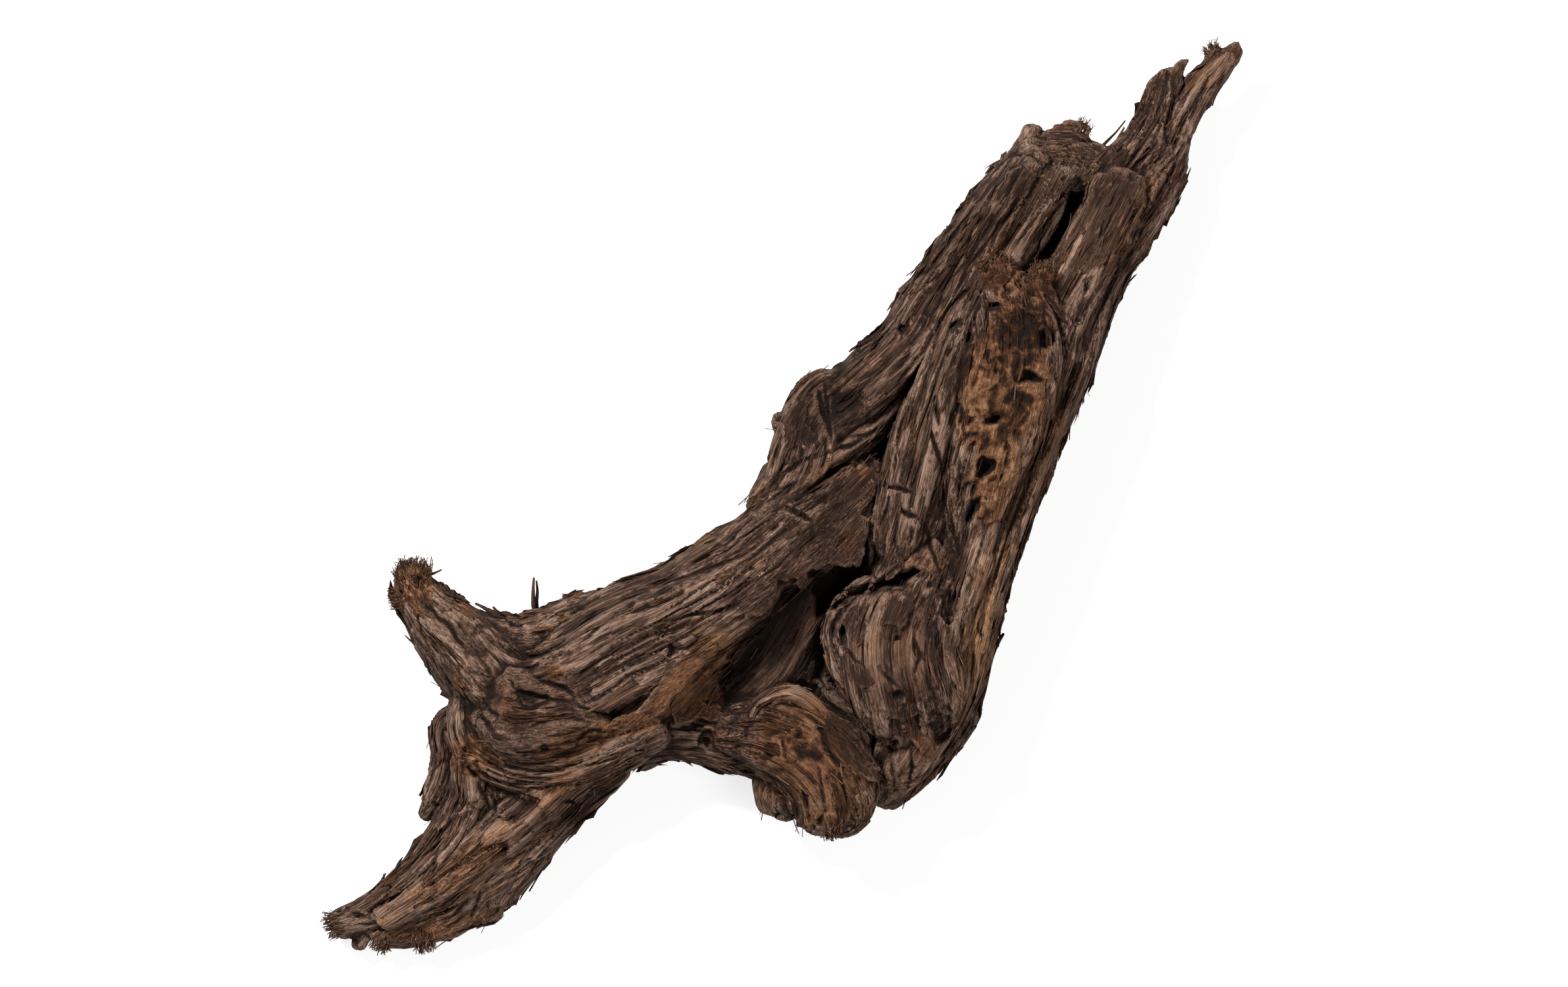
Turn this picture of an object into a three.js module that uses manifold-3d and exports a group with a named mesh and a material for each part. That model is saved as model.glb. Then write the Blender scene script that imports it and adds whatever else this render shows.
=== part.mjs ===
// A piece of weathered driftwood: a forked crown, a hollow trunk with a burl, a swirling elbow with a
// horn and a splayed foot, and two rounded knuckles round a dark hollow.
// It grew as one piece, so it is one solid: every limb, ridge and flap is a tapered sweep along its own
// grain, all of them fused, with the pits and bore holes cut out and the underside worn flat in places.
// Millimetres, +Z up. The wood lies on its flattest side on z = 0. X and Y are centred on its outline.
import * as THREE from "three";
import { mergeVertices } from "three/addons/utils/BufferGeometryUtils.js";
import Module from "manifold-3d";

// Driving dimensions
const STEP_LENGTH = 14; // length of one section of a limb
const SIDE_LENGTH = 7.5; // width of one facet round a limb
const FEWEST_SIDES = 7;
const MOST_SIDES = 14;
const BOXINESS = 2.35; // 2 is an ellipse, higher is squarer
const FLUTE_DEPTH = 0.07; // share of the radius that the ridges stand out
const FLUTE_TWIST = 0.012; // turn of the ridges, radians a millimetre
const TABLE_CUT = 60; // thickness of the block that wears the underside flat

// Each limb is a row of sections along the grain: [x, y, z, half width, half depth].
// roll tilts its sections about the grain, in degrees, and flutes is its number of ridges.
const LIMBS = {
  trunk_core: {
    flutes: 5,
    at: [[44, -34, 22, 16, 18], [60, -4, 26, 26, 24], [70, 34, 28, 29, 24], [86, 70, 27, 28, 22], [102, 98, 24, 22, 20]],
  },
  right_band: {
    flutes: 7,
    at: [
      [44, -123, 24, 7, 16], [55, -108, 29, 12, 32], [68, -82, 37, 14, 32], [76, -48, 40, 14, 35],
      [87, -12, 42, 15, 36], [101, 25, 43, 15, 35], [113, 55, 42, 16, 33], [124, 85, 39, 15, 28],
      [140, 112, 34, 13, 22], [156, 134, 28, 11, 16], [165, 148, 26, 7, 10],
    ],
  },
  burl: {
    flutes: 5,
    at: [
      [78, -20, 48, 10, 22], [84, 8, 56, 17, 30], [92, 38, 60, 22, 32], [97, 62, 60, 22, 31],
      [96, 80, 56, 15, 24], [92, 93, 52, 8, 14],
    ],
  },
  burl_horn: { flutes: 0, at: [[100, 70, 56, 6, 12], [107, 84, 58, 7, 11], [110, 95, 57, 4.5, 7]] },
  burl_rim: { flutes: 0, at: [[103, 89, 60, 4, 8], [112, 82, 62, 4, 9], [119, 72, 62, 3.4, 8], [121, 62, 60, 2, 6]] },
  grey_band: {
    flutes: 6,
    at: [
      [46, -34, 44, 8, 20], [53, -10, 50, 14, 29], [60, 18, 53, 15, 32], [67, 46, 54, 12, 31],
      [76, 72, 52, 9, 25], [85, 92, 49, 6, 18],
    ],
  },
  left_trunk: {
    flutes: 6,
    at: [
      [-4, -8, 34, 12, 24], [9, 10, 38, 14, 27], [17, 30, 39, 14, 28], [34, 45, 41, 12.5, 28],
      [53, 63, 41, 12.5, 28], [66, 83, 39, 12.5, 26], [80, 102, 37, 12.5, 24], [92, 121, 35, 11.5, 21],
      [104, 138, 33, 10.5, 17], [108, 150, 32, 6, 9],
    ],
  },
  ridge_outer: {
    flutes: 3,
    at: [[106, 141, 42, 5, 12], [94, 122, 46, 7, 17], [83, 104, 48, 8, 19], [71, 84, 49, 7, 19], [60, 64, 47, 5, 16]],
  },
  ridge_inner: {
    flutes: 3,
    at: [[118, 138, 40, 5, 13], [108, 120, 43, 7, 18], [98, 104, 45, 8, 19], [89, 88, 46, 7, 18]],
  },
  trough_floor: {
    flutes: 5,
    at: [[136, 143, 23, 14, 11], [119, 122, 17, 16, 18.5], [107, 100, 17, 16, 18], [98, 80, 24, 15, 18]],
  },
  slab: {
    flutes: 3,
    at: [[146, 136, 43, 9.5, 8], [134, 113, 50, 12.5, 11], [123, 91, 53, 13, 12], [114, 69, 54, 12, 12], [109, 55, 50, 8, 9]],
  },
  crown_left: {
    flutes: 4,
    at: [
      [138, 132, 30, 11, 15], [147, 143, 30, 11, 14], [154, 152, 31, 10, 12], [160, 163, 31, 8.7, 10],
      [163.5, 174, 31, 6.4, 7], [167, 181, 31, 3.4, 4.5], [171, 186.5, 31, 0.8, 1.2],
    ],
  },
  crown_right: {
    flutes: 4,
    at: [
      [158, 138, 26, 10, 13], [165, 152, 28, 9, 11], [170, 163, 29, 8, 9], [177, 175, 30, 6.8, 8],
      [185, 184, 30, 5.8, 6.5], [192, 190.5, 30, 3, 4],
    ],
  },
  crown_rim: {
    flutes: 4,
    at: [[103, 147, 30, 6, 12], [112, 151, 31, 7, 11], [123, 153, 30, 7.2, 9], [132, 148, 27, 7, 9], [142, 140, 28, 7, 10]],
  },
  crown_peg: { flutes: 0, at: [[104, 148, 34, 3.4, 5], [106.5, 157, 34, 2.4, 3.4]] },
  shoulder_lip: {
    flutes: 3,
    at: [[-1, 14, 42, 5, 17], [3, 26, 46, 5, 18], [7, 36, 48, 5, 16], [15, 46, 47, 5, 14], [27, 50, 43, 4, 12]],
  },
  shoulder_knot: { flutes: 0, at: [[4, 30, 40, 3.5, 5], [-3, 32, 41, 2.4, 3.4]] },
  shoulder_fold: {
    flutes: 3,
    at: [[-4, 4, 47, 6, 12], [8, 14, 51, 6, 12], [24, 20, 51, 6, 13], [38, 31, 48, 5, 13], [50, 46, 46, 4, 12]],
  },
  upper_arm: {
    flutes: 6,
    at: [
      [38, 15, 47, 5, 11], [24, 1, 50, 13, 19], [5, -17, 52, 19, 26], [-18, -36, 52, 21, 31],
      [-42, -51, 52, 22, 33], [-68, -64, 50, 24, 34], [-88, -75, 46, 22, 32], [-106, -82, 42, 16, 27],
    ],
  },
  flap: {
    flutes: 0, roll: -8,
    at: [[40, 9, 55, 4, 3], [30, -7, 61, 8.5, 4.5], [18, -19, 63, 10, 5], [4, -29, 62, 7.5, 4.5], [-8, -34, 58, 4, 4]],
  },
  flap_tooth: { flutes: 0, at: [[8, -27, 60, 4, 4], [7.5, -34, 59, 3, 3], [7, -38, 57, 1, 1.5]] },
  elbow: {
    flutes: 6,
    at: [[-76, -88, 42, 14, 28], [-97, -91, 42, 22, 36], [-114, -91, 39, 23, 42], [-128, -88, 38, 13, 28]],
  },
  horn: {
    flutes: 5,
    at: [
      [-104, -90, 42, 18, 28], [-126, -73, 44, 18, 26], [-141.5, -57, 46, 13, 19], [-152, -47, 48, 9.5, 13],
      [-157, -38, 49, 8.4, 9.5], [-157, -30, 49, 6.4, 7],
    ],
  },
  web: {
    flutes: 4,
    at: [[-134, -58, 38, 10, 15], [-114, -64, 38, 13, 20], [-97, -62, 40, 15, 22], [-82, -56, 42, 15, 23], [-66, -52, 42, 11, 20]],
  },
  web_crest: { flutes: 0, at: [[-118, -58, 44, 3, 6], [-104, -55, 47, 4, 7], [-90, -48, 48, 4, 7], [-78, -43, 47, 3, 6]] },
  swirl: {
    flutes: 3,
    at: [
      [-134, -84, 40, 6, 20], [-132, -102, 39, 8, 22], [-116, -112, 39, 10, 25], [-92, -112, 39, 11, 26],
      [-72, -105, 38, 10, 24], [-52, -97, 37, 8, 20],
    ],
  },
  post: {
    flutes: 3,
    at: [[-132, -98, 34, 6, 17], [-133, -114, 33, 6.5, 17], [-133, -127, 29, 6.5, 15], [-139, -139, 25, 6, 13]],
  },
  foot_root: { flutes: 4, at: [[-108, -98, 26, 18, 22], [-116, -116, 25, 17, 20], [-122, -136, 22, 17, 16], [-136, -154, 18, 15, 12]] },
  foot_left: {
    flutes: 3,
    at: [[-130, -120, 27, 8, 16], [-143, -146, 25, 8.5, 15], [-160, -165, 21, 8, 12], [-176, -177, 18, 6.4, 9], [-191, -183.5, 16, 4.6, 6]],
  },
  foot_inner: { flutes: 0, at: [[-131, -128, 31, 5, 13], [-140, -145, 30, 5, 13], [-153, -160, 27, 5, 11], [-168, -173, 22, 3.5, 8]] },
  foot_middle: {
    flutes: 3,
    at: [[-76, -106, 34, 9, 20], [-97, -123, 35, 10, 22], [-116, -140, 33, 9, 21], [-135, -155, 29, 8, 17], [-154, -169.5, 24, 7, 13], [-171, -180, 20, 4.5, 8]],
  },
  foot_lower: {
    flutes: 3,
    at: [[-84, -121, 26, 7, 16], [-100, -137, 27, 8, 16], [-113, -151, 25, 8, 15], [-130, -163, 22, 7.5, 12], [-150, -175, 18, 6, 9], [-166, -183, 16, 3.5, 6]],
  },
  foot_right: {
    flutes: 3,
    at: [[-70, -112, 25, 6, 14], [-88, -126, 23, 8, 15], [-104, -141, 21, 10, 15], [-115, -154, 19, 11, 13], [-126, -169, 16, 9.5, 10], [-126, -177, 14, 5, 6]],
  },
  foot_fan: {
    flutes: 3,
    at: [[-118, -148, 18, 14, 12], [-132, -164, 16, 16, 10], [-146, -176, 14.5, 13, 8], [-160, -184, 14, 7, 6], [-174, -187, 14, 4, 4]],
  },
  foot_nub: { flutes: 0, at: [[-178, -184, 15, 3, 4], [-181, -189, 14, 2.6, 3], [-182, -193, 13, 2, 2]] },
  hanging_splinter: {
    flutes: 0,
    at: [[-135, -91, 29, 4, 8], [-144, -96, 26, 3.8, 7], [-144, -112, 23, 4.4, 6], [-148, -125, 20, 3.6, 5], [-153.5, -136, 18, 1.8, 2.4]],
  },
  short_splinter: { flutes: 0, at: [[-136, -104, 25, 4, 7], [-141, -118, 21, 3.2, 5], [-145, -131, 18, 1.2, 2]] },
  bridge: {
    flutes: 4,
    at: [[-100, -118, 25, 9, 16], [-78, -108, 27, 9, 18], [-54, -101, 28, 9, 20], [-30, -102, 30, 10, 20], [-8, -108, 32, 11, 20]],
  },
  bridge_lip: { flutes: 0, at: [[-62, -113, 22, 4, 8], [-46, -106, 24, 3.6, 8], [-30, -110, 24, 4, 8], [-14, -112, 26, 4, 9]] },
  tongue: {
    flutes: 3,
    at: [[24, -16, 31, 8, 14], [13, -38, 35, 11, 16], [3, -56, 38, 13, 17], [-6, -71, 37, 13, 16], [-19, -83, 33, 9, 14], [-32, -92, 31, 5, 10]],
  },
  tongue_under: { flutes: 3, at: [[36, -16, 30, 8, 12], [27, -38, 30, 8, 12], [18, -58, 29, 8, 12], [8, -74, 27, 7, 12]] },
  fold_upper: {
    flutes: 0, roll: 14,
    at: [[0, -46, 49, 4, 9], [-20, -60, 51, 6, 11], [-37, -75, 50, 7, 12], [-51, -88, 47, 6.5, 12], [-70, -96, 44, 5, 11], [-86, -97, 42, 3, 9]],
  },
  fold_lower: { flutes: 0, roll: 18, at: [[-22, -64, 44, 3.5, 7], [-31, -75, 46, 6, 8], [-38, -86, 45, 7, 8], [-47, -95, 42, 2, 4]] },
  fold_knob: { flutes: 0, at: [[-37, -86, 43, 4, 6], [-31, -89, 45, 4.8, 6], [-26, -92, 43, 3.4, 4]] },
  fold_back: { flutes: 3, at: [[-16, -58, 26, 14, 16], [-34, -76, 27, 15, 17], [-54, -92, 28, 13, 18]] },
  hollow_back: { flutes: 3, at: [[34, -26, 18, 14, 10], [20, -52, 17, 22, 11], [4, -76, 17, 26, 12], [-6, -96, 20, 22, 13]] },
  hollow_side: { flutes: 3, at: [[44, -20, 26, 12, 18], [38, -52, 24, 15, 18], [38, -84, 24, 17, 18], [40, -110, 24, 15, 18]] },
  hollow_strut: { flutes: 0, at: [[13, -68, 33, 1.6, 4], [17, -78, 36, 1.6, 3], [24, -87, 38, 1.6, 3], [34, -92, 42, 1.8, 4]] },
  knob: {
    flutes: 4,
    at: [[64, -26, 50, 10, 22], [54, -44, 56, 20, 29], [49, -63, 59, 25, 33], [52, -80, 56, 24, 30], [55, -94, 48, 13, 20]],
  },
  knob_lip: {
    flutes: 0,
    at: [
      [37, -36, 66, 2.6, 5], [25, -45, 66, 3.2, 8], [20, -56, 65, 3.4, 9], [23, -69, 64, 3.6, 9], [29, -81, 61, 3.6, 9],
      [36, -90, 57, 3.4, 8], [46, -96, 52, 2.6, 6],
    ],
  },
  base: { flutes: 5, at: [[78, -86, 34, 7, 22], [66, -97, 32, 11, 25], [54, -109, 30, 12, 26], [46, -120, 27, 10, 21], [42, -129, 25, 5, 10]] },
  base_strut: { flutes: 0, at: [[48, -94, 48, 3, 8], [56, -100, 52, 2.6, 6], [63, -108, 50, 1.8, 5]] },
  knuckle: {
    flutes: 5,
    at: [[-26, -99, 35, 8, 14], [-9, -100, 42, 15, 24], [7, -106, 47, 20, 32], [17, -116, 45, 21, 32], [20, -127, 38, 17, 24], [18, -135, 32, 8, 12]],
  },
  knuckle_rim: {
    flutes: 0,
    at: [
      [-14, -100, 54, 3, 8], [-9, -88, 60, 3.2, 9], [2, -83.5, 63, 3.4, 9], [12, -88, 64, 3.6, 9], [20, -100, 62, 3.8, 9],
      [28, -111, 57, 3.6, 8], [40, -117, 51, 2.2, 4],
    ],
  },
  stub: { flutes: 0, at: [[4, -112, 36, 9, 15], [-1, -121, 40, 10.5, 16], [-1, -130, 36, 8.5, 12]] },
  fan: { flutes: 4, at: [[72, -6, 58, 7, 16], [67, -22, 58, 9, 17], [64, -36, 54, 8, 15]] },
};

// Bore holes, rot pits and cracks: [x, y, z, half length, half width, depth], turned by the last number, in degrees.
const PITS = {
  round_bore: [50.5, 71, 62, 2.3, 2.2, 14, 0],
  long_bore: [132, 113, 60, 6.2, 1.5, 12, 62],
  small_bore: [141, 115.5, 58, 1.6, 1, 10, 0],
  slab_pit: [125, 83, 64, 6.5, 2.4, 10, 65],
  burl_slot: [72, 72, 76, 5, 1.8, 12, 45],
  burl_crown_pit: [88, 80, 80, 3.5, 2.2, 12, 10],
  burl_eye: [110, 67, 78, 4.5, 3.2, 12, 70],
  burl_notch: [104, 51, 88, 4.5, 2, 12, -20],
  burl_pit: [88, 33, 92, 4, 2.4, 12, 30],
  burl_shaft: [84, 14, 88, 5, 3.2, 18, 80],
  burl_shaft_low: [79, -6, 80, 6.5, 2, 16, 65],
  foot_pit: [-122, -150, 44, 6.5, 2.6, 14, 25],
  elbow_bore: [-101, -105, 64, 1.6, 1.3, 10, -50],
};

const wasm = await Module();
wasm.setup();

function solidOf(geometry) {
  geometry.deleteAttribute("normal");
  geometry.deleteAttribute("uv");
  const merged = mergeVertices(geometry);
  return new wasm.Manifold(
    new wasm.Mesh({
      numProp: 3,
      vertProperties: merged.attributes.position.array,
      triVerts: new Uint32Array(merged.index.array),
    }),
  );
}

// A limb's surface: rings of points across a smooth curve through its sections, closed by a point at each end.
function limb({ at, flutes, roll = 0 }, index) {
  const line = new THREE.CatmullRomCurve3(
    at.map(([x, y, z]) => new THREE.Vector3(x, y, z)),
    false,
    "centripetal",
  );
  const sizes = new THREE.CatmullRomCurve3(
    at.map(([, , , width, depth]) => new THREE.Vector3(width, depth, 0)),
    false,
    "centripetal",
  );
  const length = line.getLength();
  const girth = Math.PI * Math.max(...at.map(([, , , width, depth]) => width + depth));
  const steps = Math.max(3, Math.round(length / STEP_LENGTH));
  const sides = Math.min(MOST_SIDES, Math.max(FEWEST_SIDES, Math.round(girth / SIDE_LENGTH)));
  const up = new THREE.Vector3(0, 0, 1);
  const points = [];
  for (let i = 0; i <= steps; i++) {
    const t = i / steps;
    const centre = line.getPoint(t);
    const along = line.getTangent(t);
    const size = sizes.getPoint(t);
    const across = new THREE.Vector3().crossVectors(along, up).normalize();
    const out = new THREE.Vector3().crossVectors(across, along).normalize();
    across.applyAxisAngle(along, THREE.MathUtils.degToRad(roll));
    out.applyAxisAngle(along, THREE.MathUtils.degToRad(roll));
    for (let j = 0; j < sides; j++) {
      const angle = (2 * Math.PI * j) / sides;
      const ridge = 1 + (flutes ? FLUTE_DEPTH * Math.sin(flutes * angle + index + FLUTE_TWIST * t * length) : 0);
      const c = Math.cos(angle);
      const s = Math.sin(angle);
      const x = Math.sign(c) * Math.abs(c) ** (2 / BOXINESS) * size.x * ridge;
      const y = Math.sign(s) * Math.abs(s) ** (2 / BOXINESS) * size.y * ridge;
      points.push(centre.clone().addScaledVector(across, x).addScaledVector(out, y));
    }
  }
  const root = points.length;
  points.push(line.getPoint(0), line.getPoint(1));
  const tip = root + 1;
  const faces = [];
  for (let i = 0; i < steps; i++)
    for (let j = 0; j < sides; j++) {
      const k = (j + 1) % sides;
      const [a, b, c, d] = [i * sides + j, i * sides + k, (i + 1) * sides + k, (i + 1) * sides + j];
      faces.push(a, b, c, a, c, d);
    }
  for (let j = 0; j < sides; j++) {
    const k = (j + 1) % sides;
    faces.push(root, k, j);
    faces.push(tip, steps * sides + j, steps * sides + k);
  }
  const geometry = new THREE.BufferGeometry().setFromPoints(points).setIndex(faces);
  const solid = solidOf(geometry);
  return solid.volume() < 0 ? solidOf(geometry.setIndex(faces.reverse())) : solid;
}

function pit([x, y, z, length, width, depth, turn]) {
  const geometry = new THREE.SphereGeometry(1, 8, 5)
    .rotateX(Math.PI / 2)
    .scale(length, width, depth)
    .rotateZ(THREE.MathUtils.degToRad(turn))
    .translate(x, y, z);
  return solidOf(geometry);
}

let wood = null;
Object.values(LIMBS).forEach((shape, index) => {
  const solid = limb(shape, index);
  wood = wood ? wood.add(solid) : solid;
});
for (const shape of Object.values(PITS)) wood = wood.subtract(pit(shape));
const table = new THREE.BoxGeometry(1000, 1000, TABLE_CUT).translate(0, 0, -TABLE_CUT / 2);
wood = wood.subtract(solidOf(table));
// The largest body is the outer surface: hollows sealed inside it and loose scraps are left out.
wood = wood.decompose().reduce((a, b) => (b.volume() > a.volume() ? b : a));

const made = wood.getMesh();
const geometry = new THREE.BufferGeometry()
  .setAttribute("position", new THREE.BufferAttribute(made.vertProperties, 3))
  .setIndex(new THREE.BufferAttribute(made.triVerts, 1));
const finish = new THREE.MeshStandardMaterial({ color: 0x5a4334, roughness: 0.86, metalness: 0 });
const driftwood = new THREE.Mesh(geometry, finish);
driftwood.name = "driftwood";

const part = new THREE.Group();
part.add(driftwood);
export default part;
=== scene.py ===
"""A piece of weathered driftwood, lying on a pale floor and seen from straight above.

The wood grew as one piece. Its body is a union of tapered limbs that follow the grain, carved with cracks,
torn plates and rot pits, and then given ridges and fibres that run along each limb.
The tables and the carving are in millimetres, and the meshes are turned into metres at the end.
"""

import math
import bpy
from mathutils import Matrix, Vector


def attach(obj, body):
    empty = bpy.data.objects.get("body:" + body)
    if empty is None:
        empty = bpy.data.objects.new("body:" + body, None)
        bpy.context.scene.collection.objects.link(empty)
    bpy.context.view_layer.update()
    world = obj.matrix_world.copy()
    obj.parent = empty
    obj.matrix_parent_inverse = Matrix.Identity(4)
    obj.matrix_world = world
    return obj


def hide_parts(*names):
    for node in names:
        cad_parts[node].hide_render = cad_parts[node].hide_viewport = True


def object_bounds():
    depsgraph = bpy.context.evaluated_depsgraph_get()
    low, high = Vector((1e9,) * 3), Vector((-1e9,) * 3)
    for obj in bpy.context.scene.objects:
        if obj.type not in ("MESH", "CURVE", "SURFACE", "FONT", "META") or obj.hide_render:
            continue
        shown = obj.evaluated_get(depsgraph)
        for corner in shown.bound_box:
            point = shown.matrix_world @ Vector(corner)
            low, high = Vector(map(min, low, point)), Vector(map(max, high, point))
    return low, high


bl_info = {
    "name": "Weathered Driftwood",
    "version": (1, 0, 0),
    "blender": (4, 5, 0),
    "location": "View3D > Sidebar > Driftwood",
    "description": "Carves a piece of driftwood, its splinters and fibres, and lights it on a pale floor",
    "category": "Add Mesh",
}

import bpy
import numpy as np
from bpy.props import FloatProperty, FloatVectorProperty, IntProperty, PointerProperty
from mathutils import Vector
from mathutils.bvhtree import BVHTree
from mathutils.geometry import delaunay_2d_cdt

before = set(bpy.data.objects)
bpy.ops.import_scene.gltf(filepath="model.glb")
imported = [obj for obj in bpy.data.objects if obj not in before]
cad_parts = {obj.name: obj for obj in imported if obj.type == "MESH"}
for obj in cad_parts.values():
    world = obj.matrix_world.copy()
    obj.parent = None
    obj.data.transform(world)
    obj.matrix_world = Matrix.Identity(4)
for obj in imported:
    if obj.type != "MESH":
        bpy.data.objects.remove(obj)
CAD_BOX = [list(corner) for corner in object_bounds()]

NODE = "driftwood"
BODY = "root"
MM = 0.001

UP = np.array([0.0, 0.0, 1.0])
BOXINESS = 2.35  # 2 is an ellipse, higher is squarer
FLUTE_DEPTH = 0.07  # share of the radius that the ridges stand out
FLUTE_TWIST = 0.012  # turn of the ridges, radians a millimetre
ROW_SPACING = 3.0  # length of one section of a limb
SIDES = 40
SMALLEST = 0.35  # no limb gets thinner than this at its tips
SHEET_STEP = 1.0  # spacing of the points of a plate's solid
PLATE_STEP = 0.7  # spacing of the points of a plate's skin
HIGHEST = 93.6  # no wood lies higher than this
SHEET_TOP = 91.5  # no plate lies higher than this
LOWEST = 0.05  # no thin piece lies lower than this
UNDER_SKIN = 7.0  # no hollow reaches nearer than this to the surface that the wood lies on
FLOOR_CUT = 0.88  # share of the wood over a floor that is taken away
BUMP_DEPTH = 0.0013  # height of the grain that the material adds, in metres
PLATE_THICK = 1.3  # thickness of a plate's skin
SIDE_ROOM, TOP_ROOM = 8.0, 2.0  # how far past the CAD box fibres may reach, to the sides and upwards
ROOM_SLIP = 1.0  # fibres past that by no more than this are left
# The sunken places that this height map finds get painted shade.
DARK_CELL = 2.0  # cell of the height map that finds sunken places
DARK_REACH = 6  # how many cells away the tops round a place are looked for
# Turns the pattern of the rot away from the axes.
ROT_TURN = np.array([[0.26, -0.87, 0.42], [0.93, 0.12, -0.34], [0.25, 0.48, 0.84]])
# Teeth of a plate's torn edge: (height, width, seed).
TEETH = ((1, 5, 52), (0.7, 2.6, 50), (0.6, 1.1, 51))


def limb(flutes, rows, roll=0.0):
    """A limb's number of ridges, its sections along the grain, and their tilt about it in degrees."""
    return {"flutes": flutes, "rows": rows, "roll": roll}


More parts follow.
